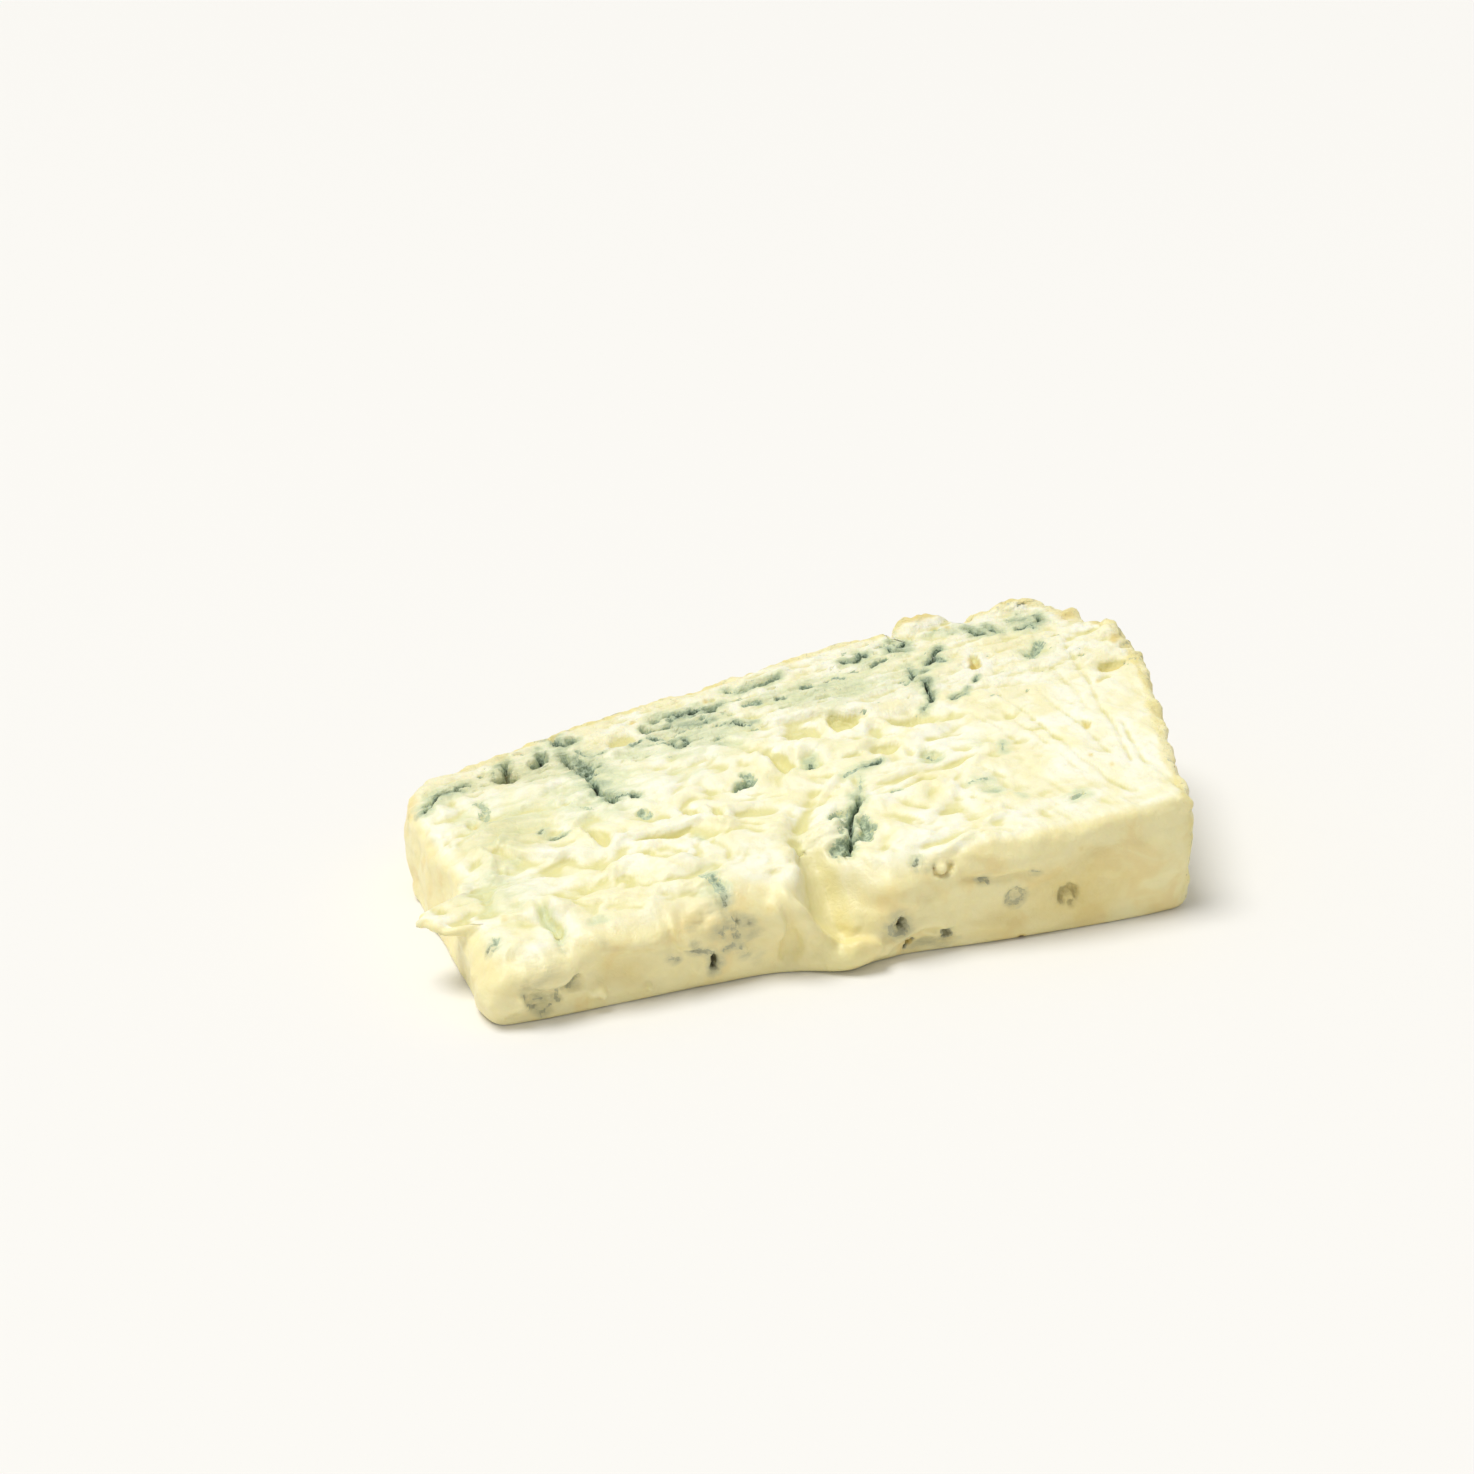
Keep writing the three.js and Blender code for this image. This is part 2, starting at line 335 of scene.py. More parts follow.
def wall_swell(flat, share):
    """How far the wall stands out: a half-sine belly up the wall, the thin flap of the nose, and each
    named swell as a bump in distance along the foot and share of height."""
    out = BELLY * np.sin(np.pi * share)
    out += nose_flap(flat) * ease(share, 0.8, 0.9)
    for x, y, half_length, middle, half_share, stand in WALL_SWELLS:
        around = np.hypot(flat[:, 0] - x, flat[:, 1] - y) / half_length
        out += stand * bump(np.hypot(around, (share - middle) / half_share))
    return out


def rim_radius(flat):
    """Radius of the rim: the plain one, a softer one that fades out 76 to 92 mm along the front and 20
    to 70 mm along the nose and is softest over the chute, and next to none round the flap."""
    soft = (SOFT_RIM + CHUTE_RIM * chute(flat)) * ease(-flat[:, 0], -92, -76) * ease(-flat[:, 1], -70, -20)
    sharp = 0.72 * bump((flat[:, 1] - FLAP_MIDDLE) / FLAP_REACH) * (flat[:, 0] < NOSE_SIDE)
    return (RIM + soft) * (1 - sharp)


def wall_ring(climb):
    """One ring of the wall. climb runs from 0 at the table to 1 at the top: a quarter circle round
    the resting edge, a straight rise, and a quarter circle over the rim. The floor of the chute
    leans back as it climbs."""
    full = top_height(ring_foot)
    rim = rim_radius(ring_foot)
    low_turn = np.pi / 2 * min(climb / FOOT_TURN, 1)
    high_turn = np.pi / 2 * max(climb - RIM_TURN, 0) / (1 - RIM_TURN)
    straight = np.clip((climb - FOOT_TURN) / (RIM_TURN - FOOT_TURN), 0, 1)
    inset = RESTING_EDGE * (1 - np.sin(low_turn)) + rim * (1 - np.cos(high_turn))
    rise = (RESTING_EDGE * (1 - np.cos(low_turn)) + (full - RESTING_EDGE - rim) * straight
            + rim * np.sin(high_turn))
    share = rise / full
    flat = ring_foot + ring_out * (wall_swell(ring_foot, share) - inset)[:, None]
    flat[:, 1] += CHUTE_LEAN * chute(ring_foot) * ease(share, 0.12, 1.1)
    return np.column_stack([flat, share * top_height(flat)])


corner_heights = top_height(np.array([[0, 0], [LENGTH, 0], [0, DEPTH], [LENGTH, DEPTH]], float))
print("heights at the four corners", corner_heights.round(1))

# %% [markdown]
# ## The skin
# The body is one closed skin of three sheets: the top, the wall and the sole. A cube with modifiers
# would give the same count of faces everywhere. Separate grids put them where the eye is: a half
# millimetre on the top and the wall, four times that on the sole, on the table. The grid of a
# sheet is spread inside its edge by a Coons patch, which blends opposite edges across. The rim's
# own wiggles are spread only a short way in, or they would crease the whole top.

# %% Sheets sewn into one skin
RIM_SPREAD = 24  # how far the rim's own wiggles reach into the top, in mm


def spread(ring, columns, rows, reach=None):
    """Fill a closed ring with a grid: front-to-back blend + nose-to-rind blend - corner blend.

    Each side's share falls evenly across the whole sheet, or to nothing within the reach, in mm.
    """
    front = ring[:columns + 1]
    rind = ring[columns:columns + rows + 1]
    back = ring[columns + rows:2 * columns + rows + 1][::-1]
    nose = np.vstack([ring[2 * columns + rows:], ring[:1]])[::-1]
    a = np.linspace(0, 1, columns + 1)[None, :, None]
    b = np.linspace(0, 1, rows + 1)[:, None, None]
    by_nose, by_rind, by_front, by_back = (
        1 - side if reach is None else 1 - ease(side * size, 0, reach)
        for side, size in ((a, LENGTH), (1 - a, LENGTH), (b, DEPTH), (1 - b, DEPTH)))
    corners = (by_nose * by_front * front[0] + by_rind * by_front * front[-1]
               + by_nose * by_back * back[0] + by_rind * by_back * back[-1])
    edges = by_front * front + by_back * back + by_nose * nose[:, None] + by_rind * rind[:, None]
    return (edges - corners).reshape(-1, ring.shape[1])


def ring_ids(columns, rows):
    """The numbers of a grid's edge points, once round from the front corner of the nose."""
    ids = np.arange((columns + 1) * (rows + 1)).reshape(rows + 1, columns + 1)
    return np.concatenate([ids[0, :-1], ids[:-1, -1], ids[-1, :0:-1], ids[:0:-1, 0]])


def grid_quads(columns, rows):
    """Quads of a grid, facing up."""
    ids = np.arange((columns + 1) * (rows + 1)).reshape(rows + 1, columns + 1)
    return np.stack([ids[:-1, :-1], ids[:-1, 1:], ids[1:, 1:], ids[1:, :-1]], -1).reshape(-1, 4)


def body_skin():
    """Points, quads and triangles of the closed skin, in mm.

    The sole's steps are four times as wide as the wall's, so five triangles join one step of the sole
    to four of the wall.
    """
    climbs = np.linspace(1, 0, LEVELS + 1)
    rings = [wall_ring(climb) for climb in climbs]
    plain = ring_foot - RIM * ring_out
    top = np.zeros(((COLUMNS + 1) * (ROWS + 1), 3))
    top[:, :2] = (spread(plain, COLUMNS, ROWS)
                  + spread(rings[0][:, :2] - plain, COLUMNS, ROWS, RIM_SPREAD))
    top[:, 2] = top_height(top[:, :2])
    sole_grid = COLUMNS // 4, ROWS // 4
    sole = spread(rings[-1][::4], *sole_grid)
    walls = np.vstack(rings[1:-1])
    points = np.vstack([top, walls, sole])

    around = len(ring_foot)
    levels = [ring_ids(COLUMNS, ROWS)]
    levels += [len(top) + k * around + np.arange(around) for k in range(LEVELS - 1)]
    under = len(top) + len(walls)
    quads = [grid_quads(COLUMNS, ROWS), grid_quads(*sole_grid)[:, ::-1] + under]
    quads += [np.stack([upper, lower, np.roll(lower, -1), np.roll(upper, -1)], -1)
              for upper, lower in zip(levels, levels[1:])]
    fine = levels[-1]
    coarse = ring_ids(*sole_grid) + under
    next_coarse = np.roll(coarse, -1)
    f0, f1, f2, f3, f4 = (np.roll(fine, -k)[::4] for k in range(5))
    triangles = np.concatenate([np.stack(corners, -1) for corners in (
        (f0, coarse, f1), (f1, coarse, f2), (f2, coarse, next_coarse), (f2, next_coarse, f3),
        (f3, next_coarse, f4))])
    return points, np.concatenate(quads), triangles


def normals_of(points, quads, triangles):
    """Unit normals of the points: the sum of the normals of the faces round each one."""
    total = np.zeros_like(points)
    quad_corners, triangle_corners = points[quads], points[triangles]
    quad_normals = np.cross(quad_corners[:, 2] - quad_corners[:, 0],
                            quad_corners[:, 3] - quad_corners[:, 1])
    triangle_normals = np.cross(triangle_corners[:, 1] - triangle_corners[:, 0],
                                triangle_corners[:, 2] - triangle_corners[:, 0])
    for faces, face_normals in ((quads, quad_normals), (triangles, triangle_normals)):
        for corner in faces.T:
            for axis in range(3):
                total[:, axis] += np.bincount(corner, face_normals[:, axis], len(points))
    return total / np.linalg.norm(total, axis=1)[:, None]


body, quads, triangles = body_skin()
facing = normals_of(body, quads, triangles)
print(len(body), "points,", 2 * len(quads) + len(triangles), "triangles,",
      np.ptp(body, axis=0).round(1), "mm in size")

# %% [markdown]
# ## Zones of the skin
# The same paste looks different in each place. The front half of the top was smeared while it was
# soft, the back of it broke into short crumbly layers, the rind end took the drag marks of the
# knife, and only two sides carry rind. Each zone is a weight from 0 to 1 with soft edges.

# %% Weights of the zones
x, y, z = body.T
on_top = ease(facing[:, 2], 0.2, 0.7)
on_sole = ease(-facing[:, 2], 0.3, 0.8)
on_front = ease(-facing[:, 1], 0.3, 0.8) * (y < FRONT_SIDE)
on_nose = ease(-facing[:, 0], 0.3, 0.8) * (x < NOSE_SIDE)
on_side_rind = ease(facing[:, 0], 0.25, 0.7) * (x > 120)
on_flat_rind = ease(facing[:, 1], 0.3, 0.7) * (y > 60)
crumbly = on_top * ease(y + 0.12 * x + 5 * cloud(body, 22, 3), 55, 74)
dragged = on_top * ease(x - 0.25 * y + 8 * cloud(body, 25, 4), 96, 120)
smeared = on_top * (1 - crumbly) * (1 - 0.75 * dragged)
off_table = ease(z, 0, 1.6)  # 0 where the skin rests, so that the foot keeps its place
print("share of the skin that is smeared, crumbly, dragged:",
      smeared.mean().round(2), crumbly.mean().round(2), dragged.mean().round(2))

# %% [markdown]
# ## Smears, crumbs and drag marks
# Soft paste that was pushed about looks like plaster: low lobes that end in ledges. A ledge is a
# cloud pushed through tanh, which is flat on both sides and steep between. The crumbly band is the
# same thing, smaller and drawn out along X, and the drag marks are long and shallow. All of it is
# moved along the skin's own normals, so lobes roll over the rim as real paste does.


# %% Relief of the paste
def ledges(points, size, sharpness, seed, octaves=2):
    """Terraces: tanh(sharpness * clouds), flat tops and bottoms with a steep step between."""
    return np.tanh(sharpness * clouds(points, size, octaves, seed))


def turned(points, degrees):
    """The points turned about Z, so that a stretched noise runs in another direction."""
    turn = np.radians(degrees)
    cos, sin = np.cos(turn), np.sin(turn)
    return np.column_stack([points[:, 0] * cos + points[:, 1] * sin,
                            points[:, 1] * cos - points[:, 0] * sin, points[:, 2]])


drift = np.column_stack([cloud(body, 18, 5), cloud(body, 18, 6), np.zeros(len(body))]) * 5
drift += np.column_stack([cloud(body, 7, 54), cloud(body, 7, 55), np.zeros(len(body))]) * 2.4
swirled = body + drift
lobes = (0.4 * ledges(swirled, [20, 11, 12], 2.6, 7)
         + 0.42 * ledges(turned(swirled, -15), [9, 5, 6], 3.2, 9)
         + 0.2 * ledges(turned(swirled, 25), [4, 2.4, 3], 2.8, 11))
crumbs = (0.34 * ledges(turned(body, 4), [8, 2.6, 3], 2.5, 13, 3)
          + 0.16 * ledges(body, [2.6, 1.5, 1.5], 2, 15))
drags = (0.2 * clouds(turned(body, -76), [45, 2, 6], 2, 17)
         + 0.1 * ledges(turned(body, -62), [9, 1.4, 2], 2, 19))
wall_lobes = 0.5 * ledges(swirled, [12, 10, 6], 1.8, 21) + 0.16 * clouds(body, 3, 2, 23)
rind_wrinkles = (0.55 * clouds(body, [7, 9, 12], 2, 25) + 0.42 * ledges(body, [3.4, 3.4, 6], 2.4, 27)
                 + 0.12 * clouds(body, 1.6, 2, 29))
relief = smeared * lobes + crumbly * crumbs + dragged * (1 - crumbly) * drags
relief += (on_front + on_nose) * wall_lobes + (on_side_rind + on_flat_rind) * rind_wrinkles
relief += 0.06 * clouds(body, 1.7, 2, 31) * (1 - on_sole)
print("relief from", relief.min().round(2), "to", relief.max().round(2), "mm")

# %% [markdown]
# ## Folds and hollows that can be recognised
# Noise gives the kind of surface, but not this surface. The bigger smears are placed one by one: each
# fold is a line along its crest, with a soft slope on the left of the line's travel and a steep one
# on the right, and each hollow is a round bump pressed in. A fold with a negative rise is a groove.

# %% Folds of the top: crest, soft width, steep width, rise
TOP_FOLDS = [
    # the nose
    ([[11.8, 55], [11.2, 61], [9.5, 64], [7, 64.6], [4.8, 61], [4.6, 55]], 2.4, 0.8, 0.5),
    ([[10.8, 46], [10.2, 52], [9.4, 55]], 2.0, 1.0, 0.45),
    ([[9.5, 41], [12.5, 38], [15, 34.5], [18.5, 31.5], [22, 29.5], [24.5, 27.5], [25.2, 24.5]],
     3.4, 1.1, 1.0),
    ([[6.5, 26], [7.5, 28], [7.3, 31], [8.7, 33.5], [9, 36], [7.5, 38.5], [5, 39]], 2.2, 1.0, 0.6),
    ([[3.5, 30.5], [1.5, 29.8], [0.5, 27], [0, 24]], 1.8, 1.0, 0.5),
    ([[4.4, 26.4], [4.6, 22], [4, 18.6], [3.4, 14.6]], 1.0, 1.2, -0.5),
    ([[2.6, 22.8], [-0.4, 22], [-3, 21.8]], 0.8, 0.8, -0.3),
    ([[9.5, 11.5], [8, 13.5], [5, 14.5], [2, 12.5]], 1.8, 0.8, 0.5),
    ([[3.4, 10.4], [0, 10.8], [-2.4, 8.6]], 1.6, 0.9, 0.5),
    ([[16, 7.5], [15.2, 10], [14.4, 13.5], [12.6, 16.8]], 0.9, 2.0, 0.8),
    ([[11.6, 17], [10.6, 13.5], [11.2, 10]], 0.8, 1.6, 0.5),
    ([[12.8, 15.5], [12.5, 11], [13.2, 7], [12.8, 4], [13.4, 0]], 1.0, 1.0, -0.8),
    # the yellow hollow and the plates round it
    ([[29.2, 28.3], [27.8, 32], [26.8, 36], [27.3, 40]], 2.6, 0.8, 1.0),
    ([[44, 18], [41, 16.5], [38, 15.5], [36, 18.5], [34, 21.8], [31, 22], [28.5, 20.5], [26.5, 17]],
     4, 1.2, 0.9),
    ([[55, 24.5], [52.5, 27.5], [50, 30], [46, 30.5], [40, 30.4], [34, 30.4], [30, 29.2]], 0.7, 2.4, 0.7),
    ([[34, 28.9], [39, 28.5], [45, 28.5], [48, 28.9]], 0.6, 0.6, -0.9),
    ([[35, 34], [40, 33.4], [45, 34]], 1.4, 1.0, 0.3),
    ([[46.3, 31], [46.5, 34], [45.8, 38]], 1.6, 0.8, 0.6),
    ([[52.8, 29.5], [51.5, 33], [50.8, 37]], 1.2, 0.8, 0.5),
    ([[55.2, 28], [54.8, 31], [54.2, 35]], 1.0, 1.4, 0.5),
    ([[66, 26], [62, 23], [57, 22.4]], 3.0, 1.2, 0.6),
    # the valley beside the big pocket
    ([[76, 31.5], [71, 27.6], [67, 23.5], [64.8, 19], [64.4, 13], [65, 6], [65.5, -4]], 2.2, 2.6, -1.1),
    ([[80, 36], [78, 33], [75, 29.8], [71.5, 27], [68, 26.4], [65.6, 24]], 0.8, 1.2, 0.5),
    ([[57, 3], [58.6, 7], [60.4, 11], [62, 15]], 2.6, 1.2, 0.7),
    ([[70.4, 3], [69.4, 7], [69, 12]], 1.4, 2.6, 0.4),
    # the middle hollows
    ([[70, 39], [69, 42], [68.2, 47], [67.4, 52]], 2.2, 0.9, 0.7),
    ([[69.6, 50.5], [71, 46.5], [71.4, 42], [71.8, 39.6]], 1.6, 1.4, -1.2),
    ([[73.4, 43], [74.3, 46.5], [73.6, 50.5]], 0.9, 1.8, 0.5),
    ([[108, 43.4], [103, 42.6], [99, 43.6], [96.5, 46.2], [95, 49.4], [92, 50.4], [88, 48.8], [84, 48.2],
      [80, 47.4], [77, 48], [74.6, 50]], 2.8, 0.9, 0.9),
    ([[85.3, 49.5], [84.8, 54], [85.1, 59]], 1.2, 0.7, 0.7),
    ([[73, 60], [80, 60.4], [88, 59.4], [93, 56], [96, 52]], 3.5, 0.9, 0.7),
    ([[97, 36.5], [93.5, 42], [89, 42.6], [84, 41.2]], 0.8, 1.6, 0.4),
    ([[96, 37], [99, 37.4], [102.6, 36]], 1.4, 0.8, 0.4),
    # short shelves of the crumbly band
    ([[40, 62], [43, 64], [46, 65.4], [50, 65.4], [54, 64.6]], 2.2, 0.7, 0.6),
    ([[50, 63], [53.5, 61.4]], 1.6, 0.7, 0.5),
    ([[72, 76.4], [76, 78.4], [82, 79.4], [88, 80.4]], 1.4, 0.7, 0.6),
    ([[66, 71.6], [74, 71.4], [82, 70.6]], 1.8, 0.7, 0.4),
    ([[65, 65.2], [69, 63.2], [72, 62.4]], 1.6, 0.7, 0.5),
    # strokes near the rind
    ([[86, 11.5], [95, 17.5], [104, 25.5], [112, 33]], 1.6, 1.0, 0.35),
    ([[120.5, 52], [122.5, 42], [124, 30], [124.6, 22], [126.2, 12], [129, 5]], 0.5, 0.6, -0.22),
    ([[142.4, 63.5], [141.2, 52], [138.6, 40], [136.6, 30], [135, 20.5], [132.8, 13]], 0.5, 0.6, -0.22),
    ([[138.6, 30], [137, 20], [135.4, 11]], 0.5, 0.7, -0.22),
    ([[118, 38], [124, 42.4], [127.5, 43]], 0.6, 0.6, -0.22),
    ([[118.6, 46], [120, 36], [121.2, 26], [122.8, 15]], 0.5, 0.5, -0.15),
    ([[128.6, 50], [129.8, 38], [130.6, 27], [131, 17]], 0.5, 0.5, -0.15),
    ([[136.4, 56], [135.6, 44], [134.6, 34]], 0.5, 0.5, -0.15),
    ([[113, 47], [115.4, 37], [117, 28]], 0.5, 0.5, -0.15),
    ([[141, 44.4], [143, 45.8], [146.4, 46.4]], 0.5, 0.8, -0.5),
    ([[130.5, 28.5], [131.6, 30.4], [131.2, 33]], 0.6, 0.6, -0.5),
]

# Folds of the front cut, in X and Z.
FRONT_FOLDS = [
    ([[2.6, 10.6], [4, 9.4], [6.4, 8.6], [8.6, 8], [11, 7.4], [13, 8], [14.6, 9.4], [15.8, 11.6]],
     3.0, 0.9, 0.7),
    ([[3.8, 6.6], [4.4, 4.6], [5.6, 2.8], [6.8, 1.4]], 0.6, 1.4, 0.8),
    ([[11.4, 6.2], [11.8, 4.4], [12, 2.6]], 0.8, 0.8, 0.5),
    ([[6.8, 4.8], [8.2, 5.4], [9.6, 4.8], [9.8, 3.4], [8.6, 2.6]], 0.5, 0.6, 0.4),
    ([[16.6, 11.4], [21, 11.4], [25, 11], [29, 11.2], [31.4, 10.6], [32.6, 9.2]], 2.6, 0.7, 0.9),
    ([[15.8, 4.6], [17.4, 3.8], [20.2, 4.4]], 0.6, 0.9, 0.9),
    ([[20.4, 3.8], [18.6, 2.3]], 0.6, 0.9, 0.9),
    ([[27.6, 3.4], [29, 2]], 0.6, 0.8, 0.8),
    ([[34, 15.4], [33.4, 12.6], [34.2, 10.4], [36, 9.4], [38.6, 8.6]], 2.0, 0.7, 0.9),
    ([[35.4, 12.6], [36.6, 14.2], [38.6, 15], [40.8, 15.8], [43.2, 16]], 0.7, 0.7, 0.5),
    ([[35.8, 13.4], [38, 14], [40, 15], [43.6, 15]], 0.7, 1.6, -0.6),
    ([[43.8, 18], [44.2, 14.8], [46, 12.6], [48, 11.6]], 0.7, 1.0, -0.5),
    ([[38.4, 2], [37, 4.6], [35, 6.6]], 0.8, 1.2, 0.4),
    ([[43.4, 7.4], [45, 8], [47, 7.4], [48.4, 5]], 0.8, 0.6, 0.4),
    ([[52, 6.6], [53.6, 8.4], [54, 11], [53.2, 13.6], [51, 14.6]], 1.6, 0.7, 0.9),
    ([[74.6, 5.2], [70, 4.6], [67, 4.9], [64, 5.6], [61.4, 7.2], [59, 9.8], [57, 12.6], [55.4, 15.4],
      [54.6, 18]], 2.0, 1.0, 1.7),
    ([[74.6, 13.6], [77.6, 12.4], [81, 11.8], [83.4, 12.6]], 2.0, 1.0, 0.5),
    ([[71, 3], [74, 2.7], [76.6, 4], [79, 5.6], [82, 6.5], [86, 6.2], [89, 5.2]], 1.2, 0.6, 0.6),
    ([[84.8, 4.4], [86, 5.4], [88.2, 5.6], [89.6, 4.6]], 0.5, 0.6, 0.4),
    ([[81.4, 5], [84, 4.2], [86.6, 3]], 0.5, 0.7, 0.4),
    ([[88.4, 15.4], [91, 14.3], [94, 13.8], [99, 13.6], [105, 14]], 0.5, 0.8, -0.5),
    ([[90, 4.6], [95, 3.6], [101, 3.2]], 1.2, 0.7, 0.3),
]

# Hollows of the front cut: x, z, half length, half height, depth.
FRONT_HOLLOWS = [
    [8.2, 3.6, 5, 3.6, 1.2],
    [14.4, 6.8, 2.4, 2.6, 0.8],
    [24, 7, 8, 4.4, 0.7],
    [37, 17, 1.8, 2.4, 0.7],
    [56.2, 6, 2.6, 5.6, 1.2],
    [77, 7, 1.9, 2.4, 0.8],
    [84.6, 2, 6, 1.7, 0.9],
    [86.5, 17, 1.1, 1.6, -0.4],
    [101, 9.4, 1.9, 1.6, 0.5],
]

# Hollows of the top: x, y, half length, half width, depth.
TOP_HOLLOWS = [
    [19.5, 16.5, 4.5, 3.4, 0.6],
    [4, 27, 4, 4, 0.5],
    [30.2, 33.6, 2.6, 5.6, 1.5],
    [39, 22.4, 5.4, 4.6, 1.0],
    [48.2, 33.4, 1.8, 3.6, 0.8],
    [53, 31.4, 1.5, 3.4, 0.6],
    [61, 29.6, 6.6, 4, 0.9],
    [44, 5.4, 2, 4.6, 0.5],
    [38.4, 0.4, 2.6, 2.0, 0.7],
    [76.4, 41.4, 3.4, 4.6, 1.3],
    [79, 54, 5, 5.4, 1.0],
    [88.4, 53.8, 3.6, 6.2, 1.8],
    [102, 48.4, 6.6, 5, 1.2],
    [109.4, 46.4, 4.4, 2.4, 0.5],
    [91.6, 39.4, 4.4, 1.9, 0.9],
    [84.4, 39.3, 2.8, 1.2, 0.9],
    [95, 35.8, 1.6, 1.7, 0.5],
    [95.4, 27, 4, 3, 0.7],
    [101.6, 28.4, 3.4, 2, 0.5],
    [93.4, 13.6, 3.6, 1.3, 0.5],
    [46, 69, 4.2, 3.8, 1.1],
    [99, 33, 3.4, 3, 0.9],
    [104.6, 17.4, 4.6, 3.4, 0.5],
    [135.6, 62.8, 4.6, 2.2, 1.1],
    [22.6, 39.6, 3.2, 2.6, 0.7],
    [148, 50.4, 3.6, 2.6, 1.0],
    [9.3, 49.6, 1.5, 3.4, 0.9],
    [130.5, 22, 4, 5, 0.4],
    [72.2, 17.6, 1.6, 1.6, -0.9],
    [116.8, 85.6, 4, 3.8, -1.3],
    [121.6, 85.6, 4, 3.8, -1.3],
    [128.6, 84.8, 3.6, 4, 1.6],
    [155.6, 64.4, 2.6, 2.2, -1.5],
    [153, 69.4, 2.2, 2, 1.0],
    [151.6, 74.6, 3, 2.4, -0.9],
    [154.6, 55.4, 2, 1.8, 0.9],
    [153.4, 48.2, 2, 1.6, -0.6],
]

# %% [markdown]
# ## Laying the folds
# A sculpting brush would drag the paste in the same way, but a formula can be read and changed. A
# soft noise first shifts the places a little, so that no crest runs dead straight.


# %% Folds and hollows laid on the skin
def fold(flat, crest, soft, steep, rise):
    """A bell round the crest line: rise * exp(-(distance / width)^2), with the soft width on the left
    of its travel and the steep width on the right. It sinks to nothing at the line's two ends."""
    distance, side, along, length = follow(flat, crest)
    taper = ease(np.minimum(along, length - along), 0, min(3.5, 0.4 * length))
    return rise * taper * np.exp(-(distance / np.where(side > 0, soft, steep)) ** 2)


FOLD_DEPTH = 1.6  # all folds together, made deeper or flatter
wobble = np.column_stack([cloud(body, 6, 51), cloud(body, 6, 52), cloud(body, 6, 53)]) * 0.7
loose = body + wobble
for crest, soft, steep, rise in TOP_FOLDS:
    relief += FOLD_DEPTH * on_top * fold(loose[:, :2], crest, soft, steep, rise)
for crest, soft, steep, rise in FRONT_FOLDS:
    relief += FOLD_DEPTH * on_front * fold(loose[:, [0, 2]], crest, soft, steep, rise)
for *middle_and_size, deep in TOP_HOLLOWS:
    relief -= deep * on_top * dish(oval(loose[:, :2], *middle_and_size))
for *middle_and_size, deep in FRONT_HOLLOWS:
    relief -= deep * on_front * dish(oval(loose[:, [0, 2]], *middle_and_size))
relief *= off_table
print(len(TOP_FOLDS) + len(FRONT_FOLDS), "folds,", len(TOP_HOLLOWS) + len(FRONT_HOLLOWS),
      "hollows, relief up to", relief.max().round(2), "mm")
